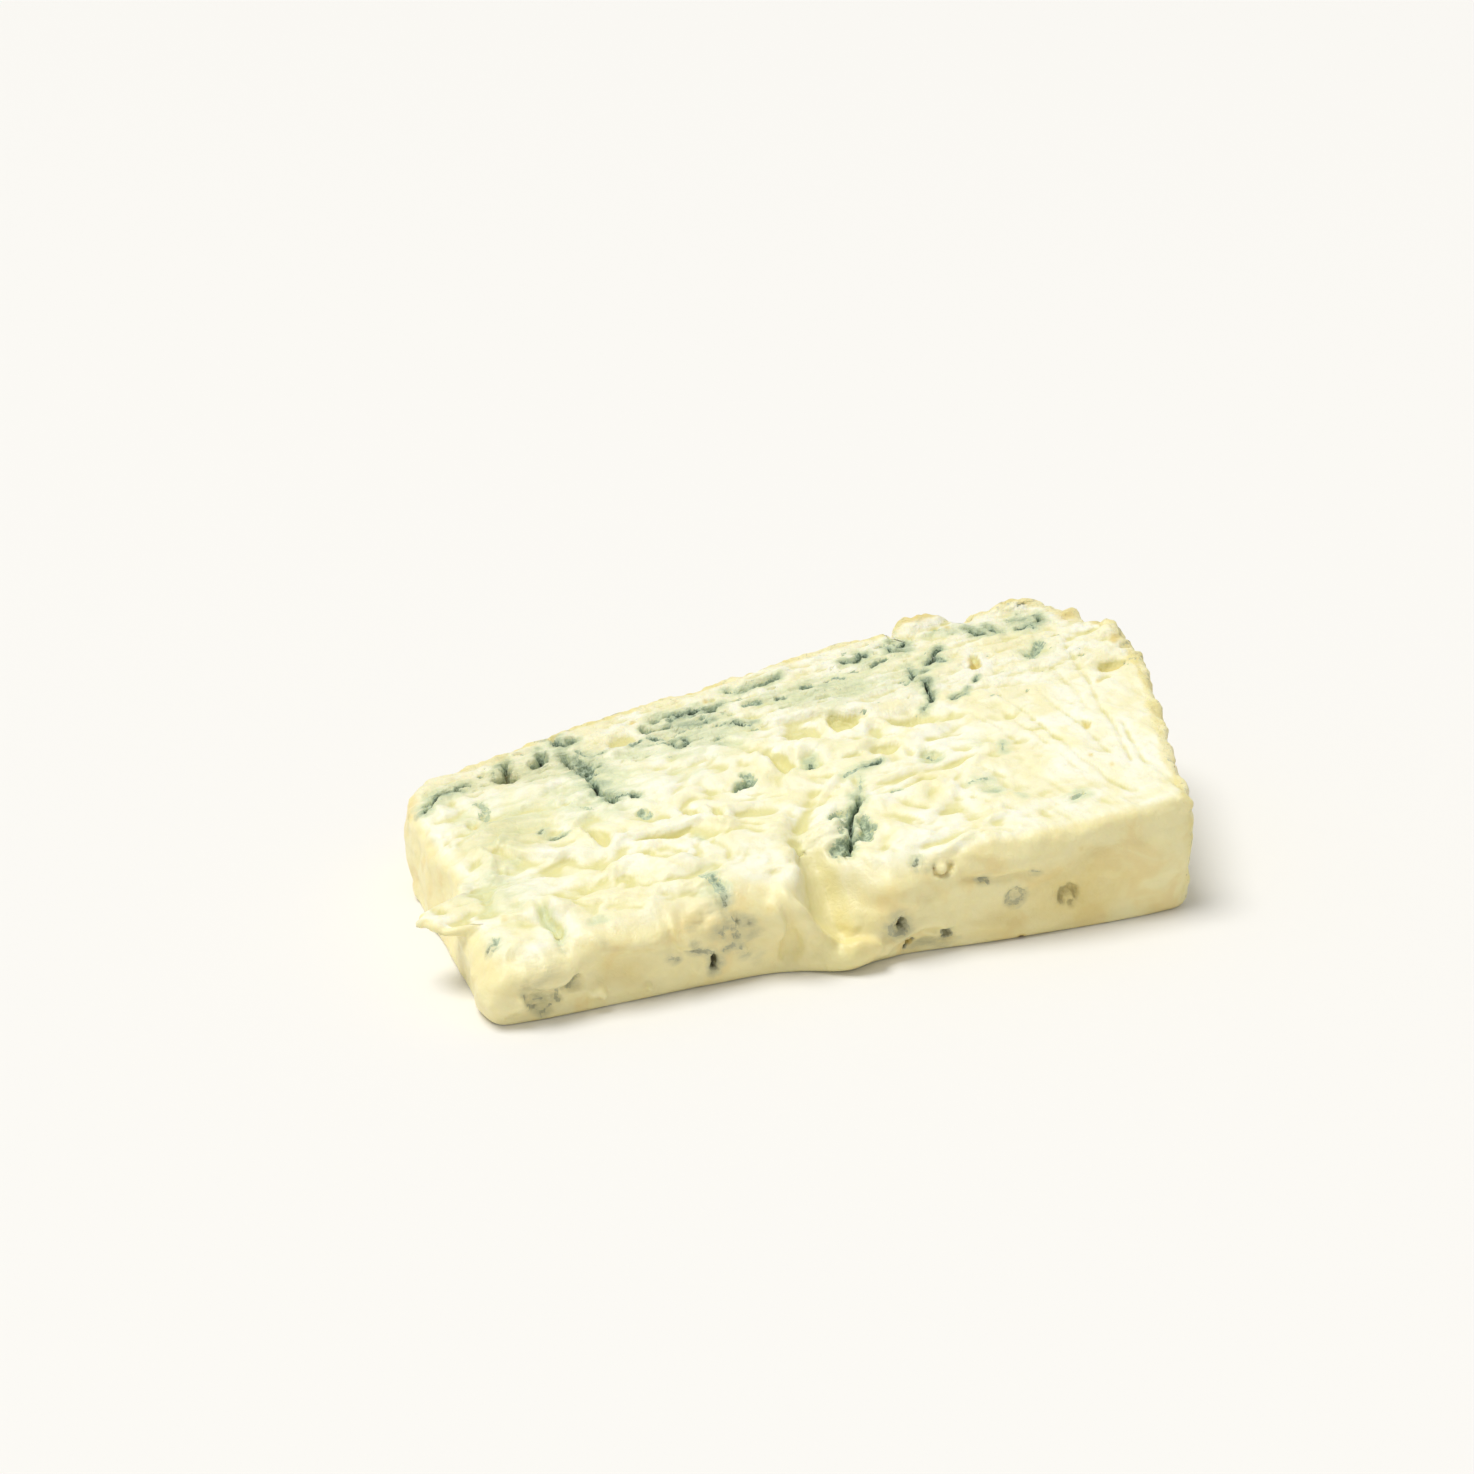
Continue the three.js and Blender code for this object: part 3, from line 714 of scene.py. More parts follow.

# %% [markdown]
# ## Clefts, pockets and pits
# These are the marks that a person would know this piece by, so each is placed one by one: the line
# of its bottom, its half width, its depth, the tone of the mould in it, and how far the blue has bled
# into the paste round it. The tone is 0 for bare paste, 0.3 for pale felt and 1 for nearly black.

# %% Clefts of the top: line, half width, depth, tone, bleed
TOP_CLEFTS = [
    # A tone near 1, nearly black, is partly the mould's own dark and partly painted shade of a deep cleft.
    # the nose
    ([[2, 59.7], [2.5, 61.2], [4.6, 62.5], [5.9, 65]], 0.6, 1.3, 0.75, 2.6),
    ([[5.9, 65], [7, 65.7], [8, 65.2], [9.6, 65.3]], 0.95, 2.4, 1.0, 3.0),
    ([[9.6, 65.3], [10.4, 67], [12.6, 66.8]], 0.6, 1.2, 0.6, 2.8),
    ([[21.8, 72.6], [21, 69], [20.4, 66]], 1.1, 3.4, 0.9, 2.6),
    ([[19.4, 67], [20.4, 65.6], [21.6, 66.2]], 1.6, 4.4, 1.0, 3.4),
    ([[18.4, 69.4], [18.2, 67]], 0.6, 0.8, 0.4, 2.2),
    ([[29.2, 72.6], [28.6, 70], [27, 68.6]], 1.2, 3.4, 1.0, 2.6),
    ([[27, 70.6], [27.2, 68.8]], 0.7, 2.6, 0.9, 1.4),
    ([[12.4, 57.6], [13.1, 55.4], [11.9, 52]], 1.0, 0.7, 0.12, 2.6),
    # the long cleft behind the nose
    ([[32.6, 79.4], [33.4, 77], [33.5, 75.2], [34.6, 73.2], [36, 74]], 0.8, 1.8, 0.85, 2.6),
    ([[36.8, 74.4]], 1.2, 2.2, 0.8, 2.2),
    ([[32.8, 69.4], [33.2, 66], [33.4, 62], [34.6, 58.6]], 0.9, 2.2, 0.8, 3.4),
    ([[34.6, 58.6], [35.2, 54.4], [35.2, 50.6], [36.4, 48], [36.4, 46.4]], 1.2, 3.0, 0.9, 3.6),
    ([[34.8, 65.4], [35.2, 61.6], [35.4, 58.4]], 1.9, 1.6, 0.5, 3.4),
    ([[35.4, 61.2], [36.8, 60.4], [38.4, 60.4]], 0.9, 2.4, 0.9, 2.6),
    ([[36, 69], [37, 67.2], [38.6, 65.8], [40.4, 65.8]], 0.5, 0.9, 0.5, 2.2),
    ([[36.8, 47.8], [38.9, 47.1], [39.4, 46.8]], 0.5, 0.7, 0.6, 2.2),
    ([[30.4, 46.4], [31.6, 44.8]], 0.6, 0.5, 0.14, 2.4),
    ([[40.9, 46.4], [41.2, 45]], 0.7, 1.4, 0.85, 1.8),
    ([[40.2, 39.2], [40.8, 38]], 0.9, 0.9, 0.2, 1.6),
    ([[20.2, 41.4], [21.2, 42.6]], 0.5, 0.9, 0.5, 1.6),
    ([[22.4, 38.6], [23.8, 38.6]], 1.1, 1.8, 0.7, 2.0),
    # the veins along the back
    ([[46, 65], [47.4, 65.2], [48.6, 65.6]], 0.5, 0.8, 0.5, 1.8),
    ([[50.6, 66], [51.8, 65], [53.4, 64.8]], 0.5, 0.9, 0.55, 1.8),
    ([[54.4, 73.8], [58, 74.4], [61, 73.8], [64, 74]], 0.85, 1.5, 0.8, 2.8),
    ([[60, 73.6], [64, 73.6], [66.4, 73], [68, 73.5]], 1.1, 2.0, 0.95, 3.0),
    ([[57, 72.4], [62, 72.2], [66, 71.8]], 0.9, 0.8, 0.35, 2.6),
    ([[51.5, 71.8], [52.3, 69.8], [54, 69.6], [55.3, 69.3], [56.2, 70.2]], 0.9, 2.0, 0.95, 1.8),
    ([[50, 63.4], [53.6, 61.6]], 0.5, 0.8, 0.4, 1.8),
    ([[54.5, 63.4], [54.4, 60.4], [55.6, 59.8]], 0.6, 1.8, 0.9, 1.8),
    ([[55.6, 60], [57.4, 61.4], [57.3, 63.4]], 0.6, 1.3, 0.65, 1.8),
    ([[63.1, 68.4], [63.4, 67]], 0.7, 1.0, 0.7, 3.4),
    ([[64.9, 64.9], [68.6, 63]], 0.45, 0.8, 0.55, 1.8),
    ([[68.6, 63], [71, 61.4], [72.2, 62.4]], 0.65, 1.6, 0.8, 1.6),
    ([[72, 78], [73.6, 76.3], [77.6, 76.8]], 0.45, 1.0, 0.45, 2.4),
    ([[77.6, 76.8], [79, 77.5], [81.4, 77.8], [83.5, 78.6]], 0.45, 1.0, 0.45, 2.2),
    ([[72.6, 69.8], [76.4, 69.9]], 0.4, 0.5, 0.4, 1.2),
    ([[80, 69.4], [81.4, 69.2]], 0.65, 1.3, 0.7, 1.2),
    ([[79.2, 64.4], [80.4, 64.2]], 0.55, 1.0, 0.6, 1.2),
    ([[86.4, 71.9], [88.4, 71.8]], 0.7, 1.0, 0.5, 1.6),
    ([[94, 72.2], [95.4, 71]], 0.45, 0.5, 0.35, 1.6),
    # the middle
    ([[60.2, 39.8], [61.8, 40.6]], 1.5, 3.8, 1.05, 1.6),
    ([[62.6, 40], [62.8, 42.2]], 1.2, 1.6, 0.3, 1.8),
    ([[76, 40.6], [76.5, 41.8]], 0.6, 1.2, 0.7, 2.4),
    ([[80, 33.2], [82.4, 33.6], [85, 34.2]], 0.34, 0.6, 0.26, 1.8),
    ([[85, 34.2], [88, 34.5], [88.4, 35.2]], 0.5, 1.2, 0.7, 1.8),
    ([[98.4, 33.8], [98.9, 33]], 0.45, 0.7, 0.4, 2.6),
    ([[101, 20.3], [104.8, 20.3]], 0.45, 0.5, 0.2, 2.2),
    ([[86.8, 24.4], [88.2, 24]], 0.6, 0.7, 0.4, 1.0),
    ([[81, 1.2], [82, 2.4]], 0.5, 0.6, 0.45, 1.6),
    ([[112.2, 28.6], [113.6, 31.6]], 0.4, 0.5, 0.1, 1.8),
    ([[116.7, 7.6], [119.8, 8.6]], 0.42, 0.8, 0.16, 2.4),
    # the big pocket: its seam, and the felted lobes round it
    ([[79.6, 25], [78.8, 23.2], [77, 21.4], [75.6, 19.4], [74.4, 17]], 0.9, 3.6, 0.95, 2.2),
    ([[74.4, 17], [73.6, 14.4], [72, 11.6], [70.8, 9.8]], 0.9, 4.2, 0.95, 2.0),
    ([[77.8, 18.4], [77.2, 15.6]], 1.7, 1.8, 0.26, 1.8),
    ([[76.2, 14.4], [74.8, 12.4]], 1.5, 2.0, 0.32, 1.8),
    ([[72.6, 13], [69.6, 11.6]], 1.2, 1.4, 0.26, 1.8),
    ([[73.8, 17.4], [72, 15.6]], 1.2, 0.8, 0.08, 1.8),
    ([[75.4, 21.6], [72.2, 20.6]], 1.1, 1.2, 0.2, 2.2),
    ([[79.6, 25], [81.6, 28.4], [83, 32]], 0.3, 0.5, 0.1, 1.6),
    # the cracks near the rind
    ([[97.7, 77.6], [101, 77.4], [102.4, 78.6], [103.6, 78.4]], 0.6, 1.5, 0.85, 2.2),
    ([[102.2, 79.8], [102.4, 78.4]], 0.7, 1.0, 0.6, 2.0),
    ([[102.9, 73], [104.4, 73.6], [106, 74.2]], 0.75, 1.5, 0.75, 1.2),
    ([[109, 79.2], [109, 77], [110.4, 75.8], [112.2, 75.8]], 0.54, 1.5, 0.8, 2.4),
    ([[110.6, 80.4], [110.8, 78], [112.4, 78.2], [113, 79.4]], 0.56, 1.5, 0.8, 2.2),
    ([[109.2, 68.2], [109.2, 65.4], [107.8, 63.2]], 0.52, 1.4, 0.8, 2.2),
    ([[109.2, 65.2], [111.8, 65.2]], 0.5, 0.9, 0.6, 1.6),
    ([[110.1, 61.4], [109.2, 58.4], [108.8, 55.8]], 0.48, 2.2, 1.0, 2.0),
    ([[108.8, 55.8], [107.6, 53.2], [105.2, 51.4]], 0.42, 1.6, 0.9, 1.6),
    ([[113.4, 68], [115.5, 69.4], [117, 72], [118.6, 72.8]], 0.55, 1.5, 0.75, 2.0),
    ([[116, 68.8], [117.4, 67.2]], 0.9, 0.9, 0.4, 1.8),
    ([[123.2, 66], [122.8, 63.6], [121.4, 61.4]], 0.9, 1.8, 0.0, 0.3),
    ([[119, 55.8], [120.4, 58.2]], 0.45, 1.1, 0.8, 1.0),
    ([[112, 52.2], [115, 52.4], [116.6, 54.4]], 0.45, 1.1, 0.75, 1.2),
    ([[127.2, 78.4], [127.8, 76], [129, 74.8], [130, 74.8]], 0.65, 2.0, 0.85, 2.4),
    ([[131.6, 76.4], [132, 75], [132.6, 73.4]], 0.54, 1.8, 0.85, 2.2),
    ([[137.3, 72.6], [139, 73], [141.8, 73.2]], 0.6, 1.6, 0.9, 2.4),
    ([[141.8, 73.2], [143.1, 73.9], [143.2, 76]], 0.75, 2.2, 1.0, 2.4),
    ([[140, 73], [140.1, 71.4]], 0.4, 0.8, 0.6, 1.4),
    ([[134.4, 61.8], [136, 62.6], [138.2, 65]], 0.9, 0.8, 0.24, 2.4),
    ([[111.4, 82.4], [112.6, 84.6], [113.6, 87]], 0.5, 2.2, 0.9, 0.8),
    ([[156.4, 65], [157, 63.2]], 0.9, 0.3, 0.6, 1.0),
    ([[156.8, 59.4], [157, 57.4]], 0.6, 0.4, 0.65, 0.8),
    ([[154.4, 52.6], [154.8, 50.8]], 0.6, 0.4, 0.55, 0.8),
    ([[147.6, 72.6], [148.8, 71.2]], 0.4, 0.6, 0.0, 0.0),
    ([[145.6, 24.8], [145.8, 24]], 0.35, 0.3, 0.7, 0.4),
    ([[142.6, 16.8], [142.8, 16.2]], 0.3, 0.3, 0.7, 0.4),
    # the front corner of the nose, and the vein over the front rim
    ([[-1.8, 4.2], [-0.6, 6.6], [1.4, 8]], 0.5, 1.0, 0.3, 1.8),
    ([[1.6, 6.4], [2.4, 8.4]], 0.8, 0.8, 0.2, 1.6),
    ([[12.6, 12.6], [13.2, 7], [12.8, 4.4], [13.4, 0.6]], 0.5, 0.4, 0.0, 1.6),
    ([[43.6, 9.4], [44.9, 6], [44.2, 2.4], [44.4, -1]], 0.45, 0.6, 0.36, 1.8),
    ([[42.6, 9.6], [43.8, 8.2], [44.2, 5.6]], 1.1, 0.3, 0.1, 1.6),
]

# Clefts of the front cut, in X and Z.
FRONT_CLEFTS = [
    # the swirl under the corner lobe, whose first two lines are partly stain and partly painted shadow of
    # the lobe
    ([[5, 8], [6.4, 7.6], [8.4, 7], [10.4, 6.3], [12.6, 6.5], [14.2, 7.2]], 0.4, 0.6, 0.0, 1.8),
    ([[13.6, 6.6], [14.6, 7.6]], 0.9, 0.6, 0.1, 1.6),
    ([[4.8, 6.2], [5.1, 4.6], [6, 3.4], [7.4, 2.2], [8, 0.8]], 0.4, 0.9, 0.15, 1.4),
    ([[6.8, 4.2], [8.4, 3.9]], 0.45, 0.7, 0.2, 1.6),
    ([[10.8, 6.2], [11.1, 4.4], [11.3, 3]], 0.35, 0.6, 0.13, 1.2),
    (arc(8.4, 3.2, 1.8, 200, 330), 0.3, 0.4, 0.1, 1.0),
    # the marbled patch
    ([[41.2, 6.2], [41.1, 4.4]], 0.8, 2.4, 0.7, 1.8),
    ([[36.6, 9], [38.2, 8.4]], 0.5, 0.7, 0.22, 1.6),
    ([[38.2, 8.4], [41, 7.4]], 0.4, 0.5, 0.1, 1.4),
    ([[46.2, 7.6], [46.8, 6.4], [47.6, 6.1]], 0.5, 0.7, 0.14, 1.6),
    ([[43.4, 12.4], [45, 11.4], [46, 9.4]], 0.8, 0.5, 0.05, 2.0),
    ([[41.4, 11.8], [42.8, 10.8]], 0.5, 0.5, 0.13, 1.4),
    ([[42.8, 7.6], [44.6, 8.2]], 0.4, 0.4, 0.1, 1.2),
    ([[36.4, 13.2], [38.4, 13.8], [40.2, 15], [43.8, 15.1]], 0.3, 0.7, 0.12, 1.2),
    ([[44, 16], [44.2, 14.6], [46, 12.5], [48.4, 11.7]], 0.35, 0.8, 0.2, 1.6),
    ([[32.4, 8], [34, 7.6]], 0.5, 0.4, 0.1, 1.4),
    # the holes on the right
    ([[77.9, 8.1], [77.6, 6.7]], 0.65, 1.8, 0.6, 1.2),
    (arc(76.9, 7.3, 1.7, -60, 300), 0.5, 0.5, 0.14, 2.0),
    ([[87.2, 4.1], [87.5, 3.5]], 1.0, 1.0, 0.46, 1.4),
    ([[78.9, 2.2], [80.3, 3.5]], 0.8, 2.2, 1.3, 0.5),
    (arc(101.2, 9.2, 1.8, 0, 330), 0.5, 0.5, 0.1, 1.4),
    (arc(112.2, 7.6, 1.6, -70, 200), 0.8, 1.3, 0.15, 1.8),
    ([[84.7, 17.8], [85.1, 16], [86.3, 15.3], [87.6, 15.9], [88, 17.6]], 0.5, 1.4, 0.0, 0.0),
    ([[93.6, 13.8], [95, 13.6]], 0.5, 0.6, 0.12, 1.4),
    ([[104, 14.3], [105.4, 14.2]], 0.4, 0.4, 0.1, 1.2),
]

# %% [markdown]
# ## Cutting the clefts
# A boolean would need a cutter for each cleft and would leave clean edges. Here the points near a
# cleft's line sink instead, and each one remembers how much mould and how much blue reached it.


# %% Carving
def carve(flat, weight, clefts, depth, mould, bleed, seed):
    """Add each cleft to the depth, mould and bleed of the points.

    The distance d to its line is shaken by fine noise, and its half width swells and pinches with a
    broader one. The depth falls from full to nothing over a soft step round the half width. The
    mould is 1.3 * (1 - d / half width), which is zero at the edge, and never above the cleft's tone.
    The bleed is a bell of d over its own width. Where clefts meet, the stronger one wins.
    """
    grit = 0.34 * cloud(body, 1.3, seed) + 0.3 * cloud(body, 3, seed + 1)
    pinch = np.maximum(1 + 0.6 * cloud(body, 4.5, seed + 2), 0.4)
    for line, half_width, deep, tone, bleed_width in clefts:
        reach = half_width * pinch
        distance = line_distance(flat, line) + grit * (0.5 + half_width) + (1 - weight) * 50
        np.maximum(depth, deep * ease(1.35 * reach - distance, 0, 0.4 + 0.8 * half_width), out=depth)
        if tone:
            np.maximum(mould, np.clip(1.3 - 1.3 * distance / reach, -2, tone), out=mould)
        if bleed_width:
            halo = np.exp(-(np.maximum(distance, 0) / bleed_width) ** 2)
            np.maximum(bleed, halo * (0.42 + 0.45 * tone), out=bleed)


carved = np.zeros(len(body))
mould = np.full(len(body), -2.0)
bleed = np.zeros(len(body))
carve(body[:, :2], on_top, TOP_CLEFTS, carved, mould, bleed, 40)
carve(body[:, [0, 2]], on_front, FRONT_CLEFTS, carved, mould, bleed, 44)
print("deepest cleft", carved.max().round(1), "mm; share of skin with mould", (mould > 0).mean().round(3))

# %% [markdown]
# ## Stains and tan marks
# Away from the clefts the paste is stained in wide, faint patches, most of all in the crumbly band,
# where small dashes of mould lie between the flakes. The dashes are where a cloud drawn out along X
# rises over a level, and the level drops where the stain is strong. Tan marks are spots where the
# paste has dried or oxidised, but a few broad ones are painted shade: the left and back left of the
# top, the right end of the front cut and its chute.

# %% Stains of the top: x, y, half length, half width, strength
TOP_STAINS = [
    [35, 58, 11, 22, 0.62],
    [47, 63, 14, 10, 0.5],
    [61, 69, 15, 9, 0.75],
    [62.5, 57, 6, 6, 0.6],
    [53, 49, 12, 8, 0.3],
    [84, 71, 20, 8, 0.5],
    [103, 75, 10, 8, 0.55],
    [111, 78, 6, 6, 0.7],
    [109, 62, 8, 13, 0.5],
    [115, 69, 6, 7, 0.55],
    [124, 79, 12, 4, 0.6],
    [139, 76, 9, 6, 0.75],
    [135, 62, 7, 5, 0.5],
    [14, 66, 16, 6, 0.42],
    [13, 56, 3.4, 7, 0.45],
    [24, 62, 9, 14, 0.3],
    [75, 38.6, 8, 4, 0.42],
    [46.5, 24.6, 3.2, 3.6, 0.6],
    [99, 33, 5, 4.4, 0.6],
    [104, 17, 5.4, 6, 0.5],
    [108, 12, 3, 2.4, 0.45],
    [117.6, 8.2, 4.6, 2.4, 0.5],
    [108, 34, 8, 5, 0.35],
    [84, 0.5, 5, 2.4, 0.4],
    [13, 33, 5, 4, 0.42],
    [13, 8, 2.4, 9, 0.5],
    [20, 4.6, 5, 2.6, 0.42],
    [43, 3, 5, 8, 0.45],
    [74, 17, 9, 11, 0.4],
    [98, 5, 3, 2, 0.25],
    [14, 47, 19, 26, 0.42],
    [34, 50, 24, 20, 0.46],
    [8, 24, 16, 22, 0.36],
    [28, 66, 22, 14, 0.5],
    [60, 62, 24, 16, 0.52],
    [92, 67, 30, 14, 0.5],
    [46, 12, 14, 12, 0.2],
    [88, 44, 18, 10, 0.22],
]

# Stains of the front cut, in X and Z.
FRONT_STAINS = [
    [43, 10.6, 9, 7, 0.32],
    [46, 11.6, 3.4, 4, 0.4],
    [37.4, 9, 2.2, 1.6, 0.7],
    [43.4, 17, 2.4, 3.4, 0.7],
    [41.5, 5, 4, 4, 0.45],
    [48, 10, 4, 4, 0.36],
    [8.4, 4, 5.4, 4.8, 0.6],
    # Partly stain and partly painted shadow under the corner lobe.
    [14, 7, 3, 4, 0.55],
    [8, 11, 9, 4.4, 0.42],
    [76, 6.8, 3.4, 3.2, 0.6],
    [85, 1.6, 9, 2.4, 0.7],
    [101.4, 9.4, 3, 3, 0.4],
    [112.4, 8, 3, 3, 0.5],
    [50, 5, 3, 4, 0.28],
    [20, 12, 5, 3, 0.3],
]

# Tan marks of the top and of the front cut, the latter in X and Z, a few of them painted shade.
TOP_TANS = [
    [122.4, 63.8, 2.0, 3.4, 1.0],
    [148, 50, 4.6, 2.6, 0.7],
    [149, 73, 4.4, 6, 0.6],
    [153, 67, 3, 4, 0.6],
    [152.6, 58.4, 2.2, 2.6, 1.0],
    [141.8, 44.8, 1.6, 1.4, 0.8],
    [131.3, 30.4, 1.1, 2.2, 0.8],
    [126.9, 19.3, 1.0, 1.0, 0.8],
    [128.7, 14.6, 1.0, 1.3, 0.6],
    [133.4, 16, 1, 3, 0.4],
    [50.3, 75.4, 1.2, 1.6, 0.9],
    [66.3, 76.6, 1.3, 0.9, 0.8],
    [36.9, 74.5, 1.2, 1.1, 0.9],
    [9.4, 49, 1.1, 2.6, 0.6],
    [38.4, 0.2, 3, 2.2, 0.3],
    [113.2, 56.4, 1.1, 1.3, 0.5],
    [101.6, 63.4, 1.4, 1, 0.4],
    [95.3, 59.8, 1, 1.2, 0.6],
    [123.4, 80.4, 1.8, 1.6, 0.6],
    [119.2, 85.8, 6.8, 3.4, 0.8],
    [139, 84, 9, 3, 0.35],
    [5.4, 13.8, 1.4, 1.6, 0.5],
    [17.4, 23.4, 1.6, 1.4, 0.3],
    [70, 8, 1.3, 1.3, 0.3],
    # Painted shade: these two darken and yellow the left and back left of the top, where less light falls.
    [14, 44, 18, 22, 0.32],
    [22, 66, 24, 12, 0.34],
    [98.6, 42, 2, 2, 0.35],
    [25.6, 4, 3, 2.4, 0.25],
    [46, 68.6, 4, 4, 0.4],
    [30, 34, 2, 5, 0.35],
    [18, 74, 16, 3.4, 0.3],
]
FRONT_TANS = [
    [84.9, 16.4, 1.0, 1.9, 0.5],
    [86.4, 15.3, 2.0, 0.9, 0.5],
    [88, 16.6, 0.8, 1.5, 0.5],
    [102.6, 0.9, 1.5, 1.1, 1.7],
    [79.6, 2.8, 1.3, 1.3, 1.3],
    [114, 17.2, 1.6, 1.4, 0.5],
    [27, 10.4, 5, 1.4, 0.5],
    [33.6, 12, 0.9, 2.4, 0.6],
    [37.6, 16, 1.2, 1.8, 0.6],
    [52, 13.6, 3, 1.6, 0.5],
    [55.6, 12, 1.6, 4, 0.35],
    [60, 14.4, 2, 1.4, 0.35],
    [77, 14, 2.6, 1.8, 0.4],
    [80.4, 12, 1.4, 2.4, 0.35],
    [24, 6.4, 10, 5.6, 0.45],
    # Painted shade: the right end of the front cut is darkened and browned.
    [114, 8, 19, 14, 0.6],
    [98, 4, 12, 7, 0.45],
    # Painted shade: the chute's floor is darkened and yellowed.
    [67, 11, 5, 11, 0.3],
]

# %% [markdown]
# ## Laying the patches
# A painted map would need a flat layout of the skin. Ovals measured in millimetres need none, and
# noise makes their edges ragged.


# %% Patches
def patches(flat, weight, spots):
    """The strongest of many oval patches at each point, each a round bump times its strength."""
    total = np.zeros(len(flat))
    for *middle_and_size, strength in spots:
        np.maximum(total, strength * bump(oval(flat, *middle_and_size)), out=total)
    return total * weight


ragged = body + 2.2 * wobble
patchy = np.maximum(patches(ragged[:, :2], on_top, TOP_STAINS),
                    patches(ragged[:, [0, 2]], on_front, FRONT_STAINS))
tan = np.maximum(patches(loose[:, :2], on_top, TOP_TANS),
                 patches(loose[:, [0, 2]], on_front, FRONT_TANS))
dashes = (clouds(turned(body, 5), [4.6, 1.3, 1.8], 3, 33) - 0.5) * 2.2 + 1.1 * (patchy - 0.5)
dashes = np.where(crumbly > 0.3, np.minimum(dashes, 0.75), -2)
np.maximum(mould, dashes, out=mould)
np.maximum(carved, 1.1 * ease(dashes, -0.1, 0.5), out=carved)
bleed = np.maximum(bleed, patchy)
print("share of skin stained", (bleed > 0.3).mean().round(2), "and dashed", (dashes > 0).mean().round(3))

# %% [markdown]
# ## Moving the skin
# The relief goes along the skin's normals and the clefts go inwards the same way. Each cleft gets a
# low lip, and the paste is crumbly where much blue has bled into it. Nothing may drop under the
# table, so the foot stays where the solid has it.

# %% Final points
lip = 0.18 * bump((carved - 0.35) / 0.35) * (carved > 0)
crumbled = 0.26 * clouds(body, 1.6, 2, 61) * ease(bleed, 0.3, 0.7) * off_table
skin = body + facing * (relief + lip + crumbled - carved)[:, None]
skin[:, 2] = np.maximum(skin[:, 2], 0)
middle = (body.max(0) + body.min(0)) / 2
frame_middle = (box_low + box_high) / 2 * 1000
shift = np.array([frame_middle[0] - middle[0], frame_middle[1] - middle[1], box_low[2] * 1000])
print("local origin sits at", shift.round(2), "mm in the frame")

# %% [markdown]
# ## How deep each hollow sits
# Hollows of this paste get a painted shade, darker and yellower, and its thin crests a painted
# highlight, paler. A node that feels for nearby surfaces could find them while it renders, but a value
# kept on the mesh costs nothing and is the same from every side. The top is a grid, so the mean
# height round each point is a few sums.


# %% Hollows and crests
def blurred(grid, reach):
    """The mean over a square of 2 * reach + 1 cells, from sums along both axes of the padded grid."""
    padded = np.pad(grid, reach, mode="reflect", reflect_type="odd")
    for axis in (0, 1):
        sums = np.cumsum(np.insert(padded, 0, 0, axis), axis)
        padded = (np.take(sums, range(2 * reach + 1, sums.shape[axis]), axis)
                  - np.take(sums, range(sums.shape[axis] - 2 * reach - 1), axis)) / (2 * reach + 1)
    return padded


top_count = (COLUMNS + 1) * (ROWS + 1)
top_rise = skin[:top_count, 2].reshape(ROWS + 1, COLUMNS + 1)
level = 0.6 * blurred(top_rise, 5) + 0.4 * blurred(blurred(top_rise, 9), 5)
sunk = np.zeros(len(body))
sunk[:top_count] = (level - top_rise).ravel()
sunk *= on_top
print("hollows sink", sunk.max().round(1), "mm under what is round them, crests rise",
      -sunk.min().round(1), "mm")

# %% [markdown]
# ## The mesh and what it remembers
# The skin becomes one mesh with smooth shading. Where mould, bleed, rind and hollows are can't be
# found again from the shape alone, so each is stored as an attribute that the material reads.

# %% Build the mesh
FULL_SINK = 0.6  # a hollow this deep, in mm, gets the whole painted shade
CHUTE_SHADE = 0.34  # the painted shade of the chute, whose smooth floor is shaded like a hollow's
rim_distance = np.minimum(
    line_distance(body[:, :2], np.array(FLAT_RIND)),
    line_distance(body[:, :2], np.array(SIDE_RIND + FLAT_RIND[:1])),
)
rind = np.maximum(np.maximum(on_side_rind, on_flat_rind) * (1 - on_sole),
                  on_top * ease(-rim_distance - 1.2 * cloud(body, 4, 50), -3.4, -2.0))
# Painted shade and highlight: in the material the sink darkens and yellows a hollow, and the rise of a
# crest makes it paler.
hollow = np.clip(sunk / FULL_SINK, -1, 1) * (1 - 0.6 * rind)
# Painted shade: the chute's floor is darkened like a hollow.
hollow = np.maximum(hollow, CHUTE_SHADE * chute(body[:, :2]))
walls = np.clip(on_front + on_nose, 0, 1)

mesh = bpy.data.meshes.new("blue_cheese")
mesh.from_pydata(((skin + shift) / 1000).tolist(), [], quads.tolist() + triangles.tolist())
mesh.shade_smooth()
kept_values = {"mould": mould, "bleed": bleed, "tan": tan, "rind": rind, "hollow": hollow,
               "wall": walls, "crumbly": crumbly}
for name, values in kept_values.items():
    layer = mesh.attributes.new(name, "FLOAT", "POINT")
    layer.data.foreach_set("value", values.astype(np.float32))
cheese = bpy.data.objects.new("blue_cheese", mesh)
bpy.context.scene.collection.objects.link(cheese)
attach(cheese, "root")
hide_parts("cheese_wedge")
print("mesh of", len(mesh.polygons), "faces")

# %% [markdown]
# ## Nodes in few words
# A shader tree is easier to read as sentences than as wires. These helpers add one node each and
# take numbers, colours or other nodes' outputs alike.


# %% Shader helpers
def linear(red, green, blue):
    """A colour given as 0 to 255 screen values, turned into the linear light that shaders use."""
    c = np.array([red, green, blue]) / 255
    return (*np.where(c <= 0.04045, c / 12.92, ((c + 0.055) / 1.055) ** 2.4), 1)


